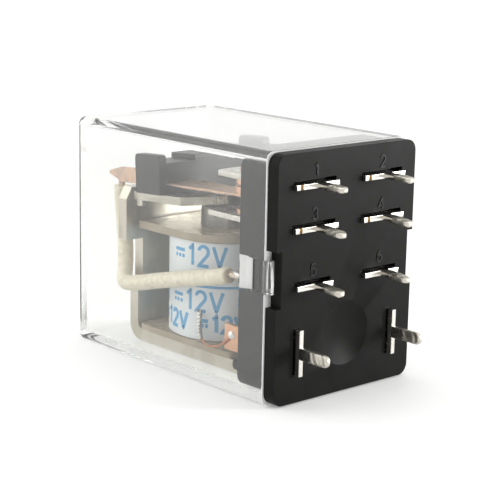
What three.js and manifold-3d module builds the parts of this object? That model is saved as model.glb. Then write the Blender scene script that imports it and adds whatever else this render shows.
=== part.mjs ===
// Plug in relay with eight blade terminals, lying on its long side.
// Frame: +X is the way it plugs in, x = 0 is the seating face of the base, and the pins stand on +X.
// +Z is the side that holds the contacts, -Z is the side it rests on, and the origin is the middle of the face.
// Everything that turns with the armature is drawn pulled in, then tilted open about the hinge.
import * as THREE from "three";
import { mergeVertices } from "three/addons/utils/BufferGeometryUtils.js";
import Module from "manifold-3d";

const wasm = await Module();
wasm.setup();

// Overall size, without the pins.
const BODY_LENGTH = 36;
const BODY_WIDTH = 21.5;
const BODY_HEIGHT = 28;

// Cover and base.
const COVER_WALL = 1.0;
const COVER_CORNER = 0.9;
const FLANGE_THICK = 1.6;
const FLANGE_CORNER = 1.3;
const FLANGE_INSET = 0.15;
const RECESS_RADIUS = 3.7;
const RECESS_DEEP = 0.6;
const RECESS_ABOVE_PINS = 1.0;
const SKIRT_END = -6.6;
const BARRIER_HALF = 0.6;
const BARRIER_GAP = 0.7;
const BARRIER_BELOW_SKIRT = 0.72;
const LUG_RISE = 2.26;
const COVER_FIT = 0.1;
const SEAM = 0.05;
const PRESS_FIT = 0.04;

// Latch on each side wall: a strap of the cover that reaches into a notch of the flange.
const LATCH_Z = 0.4;
const LATCH_TALL = 3.7;
const NOTCH_TALL = 6.25;
const NOTCH_DEEP = 0.95;
const STRAP_REACH = 0.6;
const WINDOW_LONG = 1.1;
const HOOK_LONG = 0.8;
const RAMP_LONG = 1.5;

// Contact terminals: rows of flat blades, two columns. The rows hang from the top of the skirt.
const BLADE_THICK = 0.6;
const BLADE_WIDTH = 6.35;
const BLADE_EDGE = 1.275;
const COM_WIDTH = 5.35;
const ROW_TOP_GAP = 2.7;
const NC_TO_NO = 4.7;
const NO_TO_COM = 6.4;
const SHOULDER_PROUD = 0.55;
const TONGUE_WIDTH = 1.35;
const TONGUE_REACH = 4.2;
const TONGUE_OFFSET = 0.45;
const NC_END = -12.2;
const NO_END = -13.8;
const COM_END = -9.2;

// Coil terminals: upright blades that stand up from the foot of the skirt.
const COIL_PIN_EDGE = 2.35;
const COIL_PIN_RISE = 4.8;
const COIL_PIN_TALL = 5.2;
const COIL_LUG_TALL = 3.0;
const COIL_LUG_DROP = 0.5;
const COIL_LUG_END = -11.2;
const COIL_PIN_PROUD = 0.75;
const COIL_TONGUE_REACH = 5.0;

// Magnet: yoke, core, bobbin and winding. The room behind the yoke holds the return spring and the leads.
const YOKE_THICK = 1.5;
const REAR_ROOM = 5.4;
const YOKE_FLOOR_GAP = 0.1;
const YOKE_LEAD_GAP = 0.75;
const NECK_STEP = 0.7;
const NECK_RISE = 6.3;
const EAR_GAP = 1.05;
const EAR_RISE = 1.5;
const EAR_TALL = 6.4;
const HOOK_DROP = 3.0;
const YOKE_TAB_HALF = 3.0;
const YOKE_TAB_LONG = 2.8;
const POLE_TALL = 2.5;
const COIL_RADIUS = 7.0;
const COIL_GAP = 1.6;
const POLE_RADIUS = 3.25;
const CORE_RADIUS = 2.87;
const RIVET_END_RADIUS = 1.96;
const LABEL_THICK = 0.15;
const LABEL_FIT = 0.05;
const BOBBIN_WALL = 0.9;
const WINDING_FIT = 0.1;
const LOWER_FLANGE_THICK = 0.75;
const LOWER_FLANGE_LONG = 8.8;
const CORE_FIT = 0.05;

// Armature and what rides on it, drawn pulled in.
const REST_TILT = THREE.MathUtils.degToRad(3.4);
const ARMATURE_THICK = 1.0;
const ARMATURE_PAST_CORE = 3.5;
const SHOULDER_PAST_CORE = 0.5;
const ARMATURE_EAR_STEP = 0.9;
const ARMATURE_NOSE_HALF = 3.1;
const EAR_PLAY = 0.25;
const HINGE_PLAY = 0.1;
const POLE_PLAY = 0.02;
const TAIL_HALF = 1.4;
const TAIL_LONG = 2.4;
const CARRIER_GAP = 1.7;
const CARRIER_LONG = 4.5;
const CARRIER_SIDE_GAP = 1.25;
const CARRIER_RISE = 3.4;
const CARRIER_CHEEK = 1.1;
const HUMP_HALF = 3.0;
const STAKE_INSET = 0.4;
const SPRING_THICK = 0.25;
const SPRING_WIDTH = 4.6;
const SPRING_OVER_POLE = 2.32;
const SPRING_BEND = 0.3;
const PAD_BELOW_NC = 3.58;
const CONTACT_X = -10.32;
const CONTACT_RADIUS = 1.35;
const CONTACT_SHANK = 0.55;
const CONTACT_RISE = 1.0;
const CONTACT_DROP = 0.38;
const CONTACT_PLAY = 0.03;
const STAKE_RADIUS = 0.8;

// Return spring and lead wires.
const RETURN_WIRE = 0.15;
const RETURN_RADIUS = 1.05;
const RETURN_TURNS = 8;
const LEAD_RADIUS = 0.95;
const LEAD_BORE = 0.6;
const LEAD_PLAY = 0.2;
const STRAND_RADIUS = 0.42;
const COIL_WIRE_RADIUS = 0.22;
const COIL_LEAD_ANGLE = THREE.MathUtils.degToRad(63.83);
const COIL_LEAD_PLAY = 0.08;

// Sides of the cover and of the skirt that fits in it.
const HALF_W = BODY_WIDTH / 2;
const HALF_H = BODY_HEIGHT / 2;
const INNER_W = HALF_W - COVER_WALL;
const INNER_H = HALF_H - COVER_WALL;
const SKIRT_W = INNER_W - COVER_FIT;
const SKIRT_H = INNER_H - COVER_FIT;
const LEAD_Y = INNER_W - LEAD_RADIUS - LEAD_PLAY;

// Places of the terminals.
const ROW_NC_Z = SKIRT_H - ROW_TOP_GAP;
const ROW_NO_Z = ROW_NC_Z - NC_TO_NO;
const ROW_COM_Z = ROW_NO_Z - NO_TO_COM;
const COLUMN_Y = SKIRT_W - BLADE_EDGE - BLADE_WIDTH / 2;
const COIL_PIN_Y = SKIRT_W - COIL_PIN_EDGE;
const COIL_PIN_Z = -SKIRT_H + COIL_PIN_RISE;
const COIL_LUG_Z = COIL_PIN_Z - COIL_LUG_DROP;

// Heights of the moving contacts and the magnet, which follow the row of fixed contacts above them.
const PAD_Z = ROW_NC_Z - PAD_BELOW_NC;
const SPRING_Z = PAD_Z + SPRING_BEND;
const CARRIER_TOP = SPRING_Z + CARRIER_RISE;
const POLE_TOP = SPRING_Z - SPRING_OVER_POLE;
const TOP_FLANGE_Z = POLE_TOP - POLE_TALL;
const EAR_TOP = POLE_TOP + EAR_RISE;
const EAR_BOTTOM = EAR_TOP - EAR_TALL;
const HOOK_Z = EAR_BOTTOM - HOOK_DROP;

// Places along the length, measured from the yoke.
const YOKE_OUTER = -BODY_LENGTH + COVER_WALL + REAR_ROOM;
const YOKE_INNER = YOKE_OUTER + YOKE_THICK;
const YOKE_FLOOR = -INNER_H + YOKE_FLOOR_GAP;
const YOKE_SEAT = YOKE_FLOOR + YOKE_THICK;
const YOKE_TAB_END = SKIRT_END + YOKE_TAB_LONG;
const NECK_BOTTOM = YOKE_FLOOR + NECK_RISE;
const YOKE_HALF = LEAD_Y - LEAD_RADIUS - YOKE_LEAD_GAP;
const YOKE_NECK_HALF = YOKE_HALF - NECK_STEP;
const EAR_HALF = INNER_W - EAR_GAP;
const COIL_X = YOKE_INNER + COIL_GAP + COIL_RADIUS;
const LOWER_FLANGE_FRONT = COIL_X + LOWER_FLANGE_LONG;
const ARMATURE_FRONT = COIL_X + ARMATURE_PAST_CORE;
const ARMATURE_SHOULDER = COIL_X + SHOULDER_PAST_CORE;
const ARMATURE_HALF = EAR_HALF - ARMATURE_EAR_STEP;
const CARRIER_REAR = YOKE_INNER + CARRIER_GAP;
const CARRIER_FRONT = CARRIER_REAR + CARRIER_LONG;
const CARRIER_HALF = INNER_W - CARRIER_SIDE_GAP;
const STAKE_X = (CARRIER_REAR + CARRIER_FRONT) / 2;
const STAKE_Y = COLUMN_Y - STAKE_INSET;
const HINGE = new THREE.Vector3((YOKE_INNER + YOKE_OUTER) / 2, 0, POLE_TOP + POLE_PLAY);
const RETURN_X = YOKE_OUTER - RETURN_RADIUS - 2 * RETURN_WIRE - 0.35;

// ---- helpers -------------------------------------------------------------

// Turns a closed three.js geometry into a solid that takes booleans.
function solid(geometry) {
  const bare = geometry.clone();
  bare.deleteAttribute("normal");
  bare.deleteAttribute("uv");
  const merged = mergeVertices(bare, 1e-4);
  return new wasm.Manifold(
    new wasm.Mesh({
      numProp: 3,
      vertProperties: merged.attributes.position.array,
      triVerts: new Uint32Array(merged.index.array),
    }),
  );
}

// Turns a solid back into a geometry with flat facets.
function geometryOf(body) {
  const mesh = body.getMesh();
  const geometry = new THREE.BufferGeometry();
  geometry.setAttribute("position", new THREE.BufferAttribute(mesh.vertProperties, 3));
  geometry.setIndex(new THREE.BufferAttribute(mesh.triVerts, 1));
  const flat = geometry.toNonIndexed();
  flat.computeVertexNormals();
  return flat;
}

// A box between two corners.
function box(x0, x1, y0, y1, z0, z1) {
  const geometry = new THREE.BoxGeometry(x1 - x0, y1 - y0, z1 - z0);
  geometry.translate((x0 + x1) / 2, (y0 + y1) / 2, (z0 + z1) / 2);
  return solid(geometry);
}

// An outline of [u, v] pairs as a flat prism of the given depth.
function prism(outline, depth) {
  const shape = new THREE.Shape(outline.map(([u, v]) => new THREE.Vector2(u, v)));
  return new THREE.ExtrudeGeometry(shape, { depth, bevelEnabled: false, steps: 1, curveSegments: 1 });
}

// Outline in X and Y, raised from z0 to z1.
function plan(outline, z0, z1) {
  const geometry = prism(outline, z1 - z0);
  geometry.translate(0, 0, z0);
  return solid(geometry);
}

// Outline in Y and Z, drawn out from x0 to x1.
function section(outline, x0, x1) {
  const geometry = prism(outline, x1 - x0);
  const turn = new THREE.Matrix4().makeBasis(
    new THREE.Vector3(0, 1, 0),
    new THREE.Vector3(0, 0, 1),
    new THREE.Vector3(1, 0, 0),
  );
  geometry.applyMatrix4(turn);
  geometry.translate(x0, 0, 0);
  return solid(geometry);
}

// Outline in X and Z, drawn out from y0 to y1.
function profile(outline, y0, y1) {
  const geometry = prism(outline, y1 - y0);
  const turn = new THREE.Matrix4().makeBasis(
    new THREE.Vector3(1, 0, 0),
    new THREE.Vector3(0, 0, 1),
    new THREE.Vector3(0, -1, 0),
  );
  geometry.applyMatrix4(turn);
  geometry.translate(0, y1, 0);
  return solid(geometry);
}

// Counterclockwise rectangle with rounded corners.
function rounded(u0, u1, v0, v1, radius, steps = 5) {
  const points = [];
  const corners = [
    [u1 - radius, v0 + radius, -90],
    [u1 - radius, v1 - radius, 0],
    [u0 + radius, v1 - radius, 90],
    [u0 + radius, v0 + radius, 180],
  ];
  for (const [u, v, start] of corners) {
    for (let i = 0; i <= steps; i += 1) {
      const angle = THREE.MathUtils.degToRad(start + (90 * i) / steps);
      points.push([u + radius * Math.cos(angle), v + radius * Math.sin(angle)]);
    }
  }
  return points;
}

// An upright cylinder.
function post(x, y, z0, z1, radius, sides = 32) {
  const geometry = new THREE.CylinderGeometry(radius, radius, z1 - z0, sides);
  geometry.rotateX(Math.PI / 2);
  geometry.translate(x, y, (z0 + z1) / 2);
  return solid(geometry);
}

// A turned piece on an upright axis, from [radius, height] pairs that start and end on the axis.
function turned(x, y, pairs, sides = 28) {
  const points = pairs.map(([r, z]) => new THREE.Vector2(r, z));
  const geometry = new THREE.LatheGeometry(points, sides);
  geometry.rotateX(Math.PI / 2);
  geometry.translate(x, y, 0);
  return solid(geometry);
}

// A round wire or a hollow sleeve along a smooth path through the points.
function wire(points, radius, bore, steps, sides) {
  const path = new THREE.CatmullRomCurve3(points, false, "centripetal");
  const ring = (r, count) =>
    Array.from({ length: count }, (_, i) => {
      const angle = (2 * Math.PI * i) / count;
      return new THREE.Vector2(r * Math.cos(angle), r * Math.sin(angle));
    });
  const shape = new THREE.Shape(ring(radius, sides));
  if (bore > 0) {
    shape.holes.push(new THREE.Path(ring(bore, 8).reverse()));
  }
  return solid(new THREE.ExtrudeGeometry(shape, { steps, extrudePath: path, bevelEnabled: false }));
}

// A point of a lead wire's route: its x, how far in from the line beside the cover, and its height over the row
// of common terminals.
function place(side, x, inward, rise) {
  return new THREE.Vector3(x, side * (LEAD_Y - inward), ROW_COM_Z + rise);
}

// Puts the pair of heights in rising order, so one call serves both sides of the part.
function span(a, b) {
  return a < b ? [a, b] : [b, a];
}

// Height that a pulled in point reaches when the armature is released.
function releasedHeight(x, z) {
  return HINGE.z + (x - HINGE.x) * Math.sin(REST_TILT) + (z - HINGE.z) * Math.cos(REST_TILT);
}

// ---- base ----------------------------------------------------------------

// The slot of a lying blade: a close hole with a wider mouth above the blade.
function lyingSlot(y, z, width) {
  const half = width / 2 + PRESS_FIT;
  const low = z - BLADE_THICK / 2 - PRESS_FIT;
  const high = z + BLADE_THICK / 2 + PRESS_FIT;
  const hole = box(SKIRT_END - 1, 1, y - half, y + half, low, high);
  return hole.add(box(-0.9, 1, y - half, y + half, low, high + 0.32));
}

// The slot of an upright coil blade, wider on the side that faces -Y.
function uprightSlot(y) {
  const low = COIL_PIN_Z - COIL_PIN_TALL / 2 - PRESS_FIT;
  const high = COIL_PIN_Z + COIL_PIN_TALL / 2 + PRESS_FIT;
  const thick = BLADE_THICK / 2 + PRESS_FIT;
  const hole = box(SKIRT_END - 1, 1, y - thick, y + thick, low, high);
  return hole.add(box(-0.9, 1, y - thick - 0.2, y + thick, low, high));
}

function makeBase() {
  const flangeW = HALF_W - FLANGE_INSET;
  const flangeH = HALF_H - FLANGE_INSET;
  const flange = section(rounded(-flangeW, flangeW, -flangeH, flangeH, FLANGE_CORNER), -FLANGE_THICK, 0);
  const skirt = section(rounded(-SKIRT_W, SKIRT_W, -SKIRT_H, SKIRT_H, 1.2), SKIRT_END, -FLANGE_THICK / 2);
  const barrierEnd = ARMATURE_FRONT + BARRIER_GAP;
  const barrierTop = SKIRT_H - BARRIER_BELOW_SKIRT;
  const barrier = profile(
    [
      [SKIRT_END + 0.5, TOP_FLANGE_Z + 0.5],
      [SKIRT_END + 0.5, barrierTop],
      [barrierEnd + 1.4, barrierTop - 0.56],
      [barrierEnd, barrierTop - 1.82],
      [barrierEnd, TOP_FLANGE_Z + 0.5],
    ].reverse(),
    -BARRIER_HALF,
    BARRIER_HALF,
  );
  let body = flange.add(skirt).add(barrier);
  for (const side of [-1, 1]) {
    const [notch0, notch1] = span(side * (HALF_W - NOTCH_DEEP), side * (HALF_W + 1));
    const notchZ = LATCH_Z - 0.15;
    const low = notchZ - NOTCH_TALL / 2;
    const high = notchZ + NOTCH_TALL / 2;
    body = body.subtract(box(-FLANGE_THICK - SEAM, 1, notch0, notch1, low, high));
    const hookX = -FLANGE_THICK - 1.75;
    const hook = plan(
      [
        [hookX - HOOK_LONG, side * (SKIRT_W - 0.3)],
        [hookX, side * (SKIRT_W - 0.3)],
        [hookX, side * (HALF_W - 0.3)],
        [hookX - HOOK_LONG, side * (SKIRT_W + 0.25)],
      ],
      LATCH_Z - LATCH_TALL / 2 + 0.2,
      LATCH_Z + LATCH_TALL / 2 - 0.2,
    );
    body = body.add(hook);
    const lugY = side * (SKIRT_W - 0.5);
    const [lug0, lug1] = span(lugY - side * 0.5, lugY + side * 0.5);
    const lugZ = -SKIRT_H + LUG_RISE;
    body = body.add(
      profile(rounded(SKIRT_END - 0.8, SKIRT_END + 0.5, lugZ - 0.55, lugZ + 0.55, 0.4), lug0, lug1),
    );
    // Hollows between the terminals, moulded from the inside.
    const pocketInner = COLUMN_Y - BLADE_WIDTH / 2 - 0.41;
    const [p0, p1] = span(side * pocketInner, side * (COLUMN_Y + BLADE_WIDTH / 2 + 0.01));
    const [q0, q1] = span(side * pocketInner, side * (COIL_PIN_Y - BLADE_THICK / 2 - 0.765));
    const pocketEnd = SKIRT_END + 2.6;
    body = body.subtract(box(SKIRT_END - 1, pocketEnd, p0, p1, ROW_NO_Z + 1.0, ROW_NC_Z - 0.9));
    body = body.subtract(box(SKIRT_END - 1, pocketEnd, p0, p1, ROW_COM_Z + 1.3, ROW_NO_Z - 0.9));
    body = body.subtract(box(SKIRT_END - 1, pocketEnd, q0, q1, COIL_PIN_Z - 1.7, ROW_COM_Z - 1.06));
    body = body.subtract(lyingSlot(side * COLUMN_Y, ROW_NC_Z, BLADE_WIDTH));
    body = body.subtract(lyingSlot(side * COLUMN_Y, ROW_NO_Z, BLADE_WIDTH));
    body = body.subtract(lyingSlot(side * COLUMN_Y, ROW_COM_Z, COM_WIDTH));
    body = body.subtract(uprightSlot(side * COIL_PIN_Y));
  }
  // A shallow bowl: the cap of a ball whose edge on the seating face has the recess's radius.
  const ball = (RECESS_RADIUS ** 2 + RECESS_DEEP ** 2) / (2 * RECESS_DEEP);
  const reach = Math.asin(RECESS_RADIUS / ball) * 1.2;
  const bowl = [new THREE.Vector2(0, -ball)];
  for (let k = 1; k <= 10; k += 1) {
    const angle = (reach * k) / 10;
    bowl.push(new THREE.Vector2(ball * Math.sin(angle), -ball * Math.cos(angle)));
  }
  bowl.push(new THREE.Vector2(0, -ball * Math.cos(reach)));
  const recess = new THREE.LatheGeometry(bowl, 48);
  recess.rotateZ(-Math.PI / 2);
  recess.translate(ball - RECESS_DEEP, 0, COIL_PIN_Z + RECESS_ABOVE_PINS);
  body = body.subtract(solid(recess));
  const tab = PRESS_FIT;
  return body.subtract(
    box(
      SKIRT_END - 1,
      YOKE_TAB_END + tab,
      -YOKE_TAB_HALF - tab,
      YOKE_TAB_HALF + tab,
      YOKE_FLOOR - tab,
      YOKE_SEAT + tab,
    ),
  );
}

// ---- cover ---------------------------------------------------------------

function makeCover() {
  const mouth = -FLANGE_THICK - SEAM;
  const rear = -BODY_LENGTH;
  let body = section(rounded(-HALF_W, HALF_W, -HALF_H, HALF_H, COVER_CORNER), rear, mouth);
  const past = mouth + 5;
  body = body.intersect(profile(rounded(rear, past, -HALF_H, HALF_H, COVER_CORNER), -HALF_W, HALF_W));
  body = body.intersect(plan(rounded(rear, past, -HALF_W, HALF_W, COVER_CORNER), -HALF_H, HALF_H));
  const room = section(rounded(-INNER_W, INNER_W, -INNER_H, INNER_H, 0.5, 3), rear + COVER_WALL, 1);
  body = body.subtract(room);
  const low = LATCH_Z - LATCH_TALL / 2;
  const high = LATCH_Z + LATCH_TALL / 2;
  for (const side of [-1, 1]) {
    const windowFront = mouth - 1.6;
    const windowRear = windowFront - WINDOW_LONG;
    const [y0, y1] = span(side * (INNER_W - 0.5), side * (HALF_W + 1));
    const [s0, s1] = span(side * (INNER_W + 0.15), side * HALF_W);
    const strap = box(windowFront - 0.3, mouth + STRAP_REACH, s0, s1, low, high);
    const ramp = plan(
      [
        [windowRear - RAMP_LONG, side * (HALF_W + 0.01)],
        [windowRear + 0.1, side * (HALF_W + 0.01)],
        [windowRear + 0.1, side * (INNER_W + 0.2)],
      ],
      low - 0.1,
      high + 0.1,
    );
    body = body.subtract(ramp).add(strap);
    body = body.subtract(box(windowRear, windowFront, y0, y1, low, high));
  }
  return body;
}

// ---- terminals -----------------------------------------------------------

// A lying blade: a wide part through the base and a narrow tongue with a round tip.
function lyingBlade(side, z, width, end) {
  const y = side * COLUMN_Y;
  const tongue = y + TONGUE_OFFSET;
  const half = TONGUE_WIDTH / 2;
  const points = [
    [end + 0.4, y - width / 2],
    [SHOULDER_PROUD, y - width / 2],
    [SHOULDER_PROUD, tongue - half],
  ];
  for (let i = 0; i <= 8; i += 1) {
    const angle = THREE.MathUtils.degToRad(-90 + 22.5 * i);
    points.push([TONGUE_REACH - half + half * Math.cos(angle), tongue + half * Math.sin(angle)]);
  }
  points.push([SHOULDER_PROUD, tongue + half]);
  points.push([SHOULDER_PROUD, y + width / 2]);
  points.push([end + 0.4, y + width / 2]);
  points.push([end, y + width / 2 - 0.6]);
  points.push([end, y - width / 2 + 0.6]);
  return plan(points, z - BLADE_THICK / 2, z + BLADE_THICK / 2);
}

// A blade with a hole for the shank of its fixed contact.
function contactBlade(side, z, end) {
  const hole = post(CONTACT_X, side * COLUMN_Y, z - 2, z + 2, CONTACT_SHANK + CORE_FIT, 20);
  return lyingBlade(side, z, BLADE_WIDTH, end).subtract(hole);
}

// An upright coil blade: a tall part through the base, a lug inside and a round tongue outside.
function coilBlade(side) {
  const low = COIL_PIN_Z - COIL_PIN_TALL / 2;
  const high = COIL_PIN_Z + COIL_PIN_TALL / 2;
  const half = TONGUE_WIDTH / 2;
  const inside = SKIRT_END + 0.6;
  const points = [
    [COIL_LUG_END, COIL_LUG_Z - COIL_LUG_TALL / 2],
    [inside, COIL_LUG_Z - COIL_LUG_TALL / 2],
    [inside, low],
    [COIL_PIN_PROUD, low],
    [COIL_PIN_PROUD, COIL_PIN_Z - half],
  ];
  for (let i = 0; i <= 8; i += 1) {
    const angle = THREE.MathUtils.degToRad(-90 + 22.5 * i);
    points.push([COIL_TONGUE_REACH - half + half * Math.cos(angle), COIL_PIN_Z + half * Math.sin(angle)]);
  }
  points.push([COIL_PIN_PROUD, COIL_PIN_Z + half]);
  points.push([COIL_PIN_PROUD, high]);
  points.push([inside, high]);
  points.push([inside, COIL_LUG_Z + COIL_LUG_TALL / 2]);
  points.push([COIL_LUG_END, COIL_LUG_Z + COIL_LUG_TALL / 2]);
  const y = side * COIL_PIN_Y;
  const blade = profile(points, y - BLADE_THICK / 2, y + BLADE_THICK / 2);
  const eye = new THREE.CylinderGeometry(0.45, 0.45, 3, 16);
  eye.translate(COIL_LUG_END + 1.3, y, COIL_LUG_Z + 0.4);
  return blade.subtract(solid(eye));
}

// ---- contacts ------------------------------------------------------------

// A fixed contact rivet: its face looks from the blade toward the moving contact.
function fixedContact(side, z, face) {
  const way = Math.sign(face - z);
  const near = z + way * (BLADE_THICK / 2 + PRESS_FIT / 2);
  const far = z - way * (BLADE_THICK / 2 + PRESS_FIT / 2);
  const pairs = [
    [0, far - way * 0.35],
    [0.8, far - way * 0.3],
    [1.0, far],
    [CONTACT_SHANK, far],
    [CONTACT_SHANK, near],
    [CONTACT_RADIUS, near],
    [CONTACT_RADIUS, face - way * 0.15],
    [CONTACT_RADIUS - 0.35, face - way * 0.03],
    [0, face],
  ];
  return turned(CONTACT_X, side * COLUMN_Y, way > 0 ? pairs : pairs.reverse());
}

// The double sided contact that is riveted through the moving spring.
function movingContact(side) {
  const under = PAD_Z - SPRING_THICK / 2 - 0.02;
  const over = PAD_Z + SPRING_THICK / 2 + 0.02;
  const bottom = PAD_Z - CONTACT_DROP;
  const top = PAD_Z + CONTACT_RISE;
  return turned(CONTACT_X, side * COLUMN_Y, [
    [0, bottom],
    [CONTACT_RADIUS - 0.45, bottom + 0.03],
    [CONTACT_RADIUS - 0.1, bottom + 0.12],
    [CONTACT_RADIUS - 0.1, under],
    [CONTACT_SHANK, under],
    [CONTACT_SHANK, over],
    [CONTACT_RADIUS, over],
    [CONTACT_RADIUS, top - 0.15],
    [CONTACT_RADIUS - 0.35, top - 0.03],
    [0, top],
  ]);
}

// The spring blade and its upright solder tab, thicker by twice the given play for cutting the carrier.
function springBlade(side, play) {
  const y = side * COLUMN_Y;
  const t = SPRING_THICK / 2 + play;
  const half = SPRING_WIDTH / 2 + play;
  const back = CARRIER_REAR + 0.6;
  const padStart = CONTACT_X - 2;
  const padEnd = CONTACT_X + 1.9;
  const bend = CARRIER_FRONT + 0.3;
  const strip = profile(
    [
      [back, SPRING_Z - t],
      [bend, SPRING_Z - t],
      [padStart, PAD_Z - t],
      [padEnd, PAD_Z - t],
      [padEnd, PAD_Z + t],
      [padStart, PAD_Z + t],
      [bend, SPRING_Z + t],
      [back, SPRING_Z + t],
    ],
    y - half,
    y + half,
  );
  const tip = 0.36 * SPRING_WIDTH + play;
  const outline = [
    [back - 1, y - half],
    [bend + 3, y - half],
    [padStart, y - tip],
    [padEnd - 0.8, y - tip],
    [padEnd, y - tip + 0.8],
    [padEnd, y + tip - 0.8],
    [padEnd - 0.8, y + tip],
    [padStart, y + tip],
    [bend + 3, y + half],
    [back - 1, y + half],
  ];
  const strap = strip.intersect(plan(outline, PAD_Z - 2, SPRING_Z + 2));
  const outer = side * (COLUMN_Y + SPRING_WIDTH / 2 + play);
  const inner = side * (COLUMN_Y + SPRING_WIDTH / 2 - SPRING_THICK - play);
  const [t0, t1] = span(outer, inner);
  const under = SPRING_Z - 0.45;
  const tab = profile(
    [
      [back - 0.3, under - play],
      [back + 1.4, under - play],
      [back + 1.4, SPRING_Z + 1.5 + play],
      [YOKE_OUTER - 0.8, SPRING_Z + 1.4 + play],
      [YOKE_OUTER - 3.3, SPRING_Z + 0.8 + play],
      [YOKE_OUTER - 3.3, SPRING_Z + 0.4 - play],
      [YOKE_OUTER - 0.9, under - play],
    ],
    t0,
    t1,
  );
  return strap.add(tab);
}

function movingSpring(side) {
  const hole = post(CONTACT_X, side * COLUMN_Y, PAD_Z - 2, PAD_Z + 2, CONTACT_SHANK + CORE_FIT, 20);
  return springBlade(side, 0).subtract(hole);
}

// ---- armature group ------------------------------------------------------

function makeArmature() {
  const rear = YOKE_INNER + EAR_PLAY;
  const tongueHalf = YOKE_NECK_HALF - EAR_PLAY;
  const tongueRear = YOKE_OUTER - 0.3;
  const tailEnd = YOKE_OUTER - TAIL_LONG;
  const half = [
    [ARMATURE_FRONT, ARMATURE_NOSE_HALF],
    [ARMATURE_SHOULDER, ARMATURE_HALF],
    [rear, ARMATURE_HALF],
    [rear, tongueHalf],
    [tongueRear, tongueHalf],
    [tongueRear, TAIL_HALF],
    [tailEnd, TAIL_HALF],
  ];
  const mirrored = half.map(([x, y]) => [x, -y]).reverse();
  let body = plan([...half, ...mirrored], HINGE.z, HINGE.z + ARMATURE_THICK);
  body = body.subtract(post(RETURN_X, 0, HINGE.z - 1, HINGE.z + 2, 3 * RETURN_WIRE, 16));
  for (const side of [-1, 1]) {
    const [y0, y1] = span(side * ARMATURE_HALF, side * (ARMATURE_HALF - 0.6));
    body = body.add(box(rear + 0.55, rear + 1.65, y0, y1, HINGE.z - 0.7, HINGE.z + 0.3));
    const hole = STAKE_RADIUS + CORE_FIT;
    body = body.subtract(post(STAKE_X, side * STAKE_Y, HINGE.z - 1, HINGE.z + 2, hole, 24));
  }
  return body;
}

function makeCarrier() {
  const floor = HINGE.z + ARMATURE_THICK + 0.02;
  const outline = rounded(CARRIER_REAR, CARRIER_FRONT, floor, CARRIER_TOP, 0.5, 3);
  let body = profile(outline, -CARRIER_HALF, CARRIER_HALF);
  body = body.add(box(CARRIER_REAR, CARRIER_FRONT, -CARRIER_HALF, CARRIER_HALF, floor, floor + 1));
  const cheek = CARRIER_HALF - CARRIER_CHEEK;
  for (const side of [-1, 1]) {
    const [y0, y1] = span(side * HUMP_HALF, side * cheek);
    body = body.subtract(box(CARRIER_REAR - 1, CARRIER_FRONT + 1, y0, y1, CARRIER_TOP - 1, CARRIER_TOP + 1));
    body = body.subtract(springBlade(side, PRESS_FIT));
    const x = STAKE_X;
    const y = side * STAKE_Y;
    body = body.add(post(x, y, HINGE.z - 0.05, floor + 0.5, STAKE_RADIUS, 24));
    body = body.add(post(x, y, HINGE.z - 0.4, HINGE.z - 0.03, STAKE_RADIUS + 0.4, 24));
  }
  const low = CARRIER_TOP - 0.35;
  return body.subtract(box(CARRIER_REAR - 1, CARRIER_FRONT + 1, -HUMP_HALF, HUMP_HALF, low, CARRIER_TOP + 1));
}

// ---- magnet --------------------------------------------------------------

function makeYoke() {
  const top = EAR_TOP;
  const outer = 2.0;
  const bend = [];
  for (let i = 0; i <= 6; i += 1) {
    const angle = THREE.MathUtils.degToRad(180 + 15 * i);
    bend.push([YOKE_OUTER + outer + outer * Math.cos(angle), YOKE_FLOOR + outer + outer * Math.sin(angle)]);
  }
  const front = SKIRT_END - 0.15;
  const ell = profile(
    [
      [YOKE_INNER, top],
      [YOKE_OUTER, top],
      ...bend,
      [front, YOKE_FLOOR],
      [front, YOKE_SEAT],
      [YOKE_INNER + 0.6, YOKE_SEAT],
      [YOKE_INNER + 0.18, YOKE_SEAT + 0.18],
      [YOKE_INNER, YOKE_SEAT + 0.6],
    ],
    -EAR_HALF,
    EAR_HALF,
  );
  const hingeEdge = HINGE.z - HINGE_PLAY;
  const half = [
    [YOKE_HALF, YOKE_FLOOR - 1],
    [YOKE_HALF, NECK_BOTTOM],
    [YOKE_NECK_HALF, NECK_BOTTOM],
    [YOKE_NECK_HALF, EAR_BOTTOM],
    [EAR_HALF, EAR_BOTTOM],
    [EAR_HALF, EAR_TOP - 1.4],
    [EAR_HALF - 0.8, EAR_TOP],
    [YOKE_NECK_HALF, EAR_TOP],
    [YOKE_NECK_HALF, hingeEdge],
  ];
  const mirrored = half.map(([y, z]) => [-y, z]).reverse();
  const front2 = section([...half, ...mirrored], YOKE_OUTER - 1, 0);
  let body = ell.intersect(front2);
  body = body.add(
    box(front - 0.5, YOKE_TAB_END, -YOKE_TAB_HALF, YOKE_TAB_HALF, YOKE_FLOOR, YOKE_SEAT),
  );
  body = body.subtract(post(COIL_X, 0, YOKE_FLOOR - 1, YOKE_SEAT + 1, RIVET_END_RADIUS + CORE_FIT, 32));
  const hook = box(RETURN_X - 0.8, YOKE_OUTER + 0.5, -0.7, 0.7, HOOK_Z - 0.6, HOOK_Z);
  body = body.add(hook);
  return body.subtract(post(RETURN_X, 0, HOOK_Z - 2, HOOK_Z + 1, 3 * RETURN_WIRE, 16));
}

function makeCore() {
  const under = TOP_FLANGE_Z + CORE_FIT;
  return turned(
    COIL_X,
    0,
    [
      [0, YOKE_FLOOR + 0.05],
      [RIVET_END_RADIUS, YOKE_FLOOR + 0.05],
      [RIVET_END_RADIUS, YOKE_SEAT + PRESS_FIT],
      [CORE_RADIUS, YOKE_SEAT + PRESS_FIT],
      [CORE_RADIUS, under],
      [POLE_RADIUS, under],
      [POLE_RADIUS, POLE_TOP - 0.15],
      [POLE_RADIUS - 0.15, POLE_TOP],
      [0, POLE_TOP],
    ],
    36,
  );
}

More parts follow.
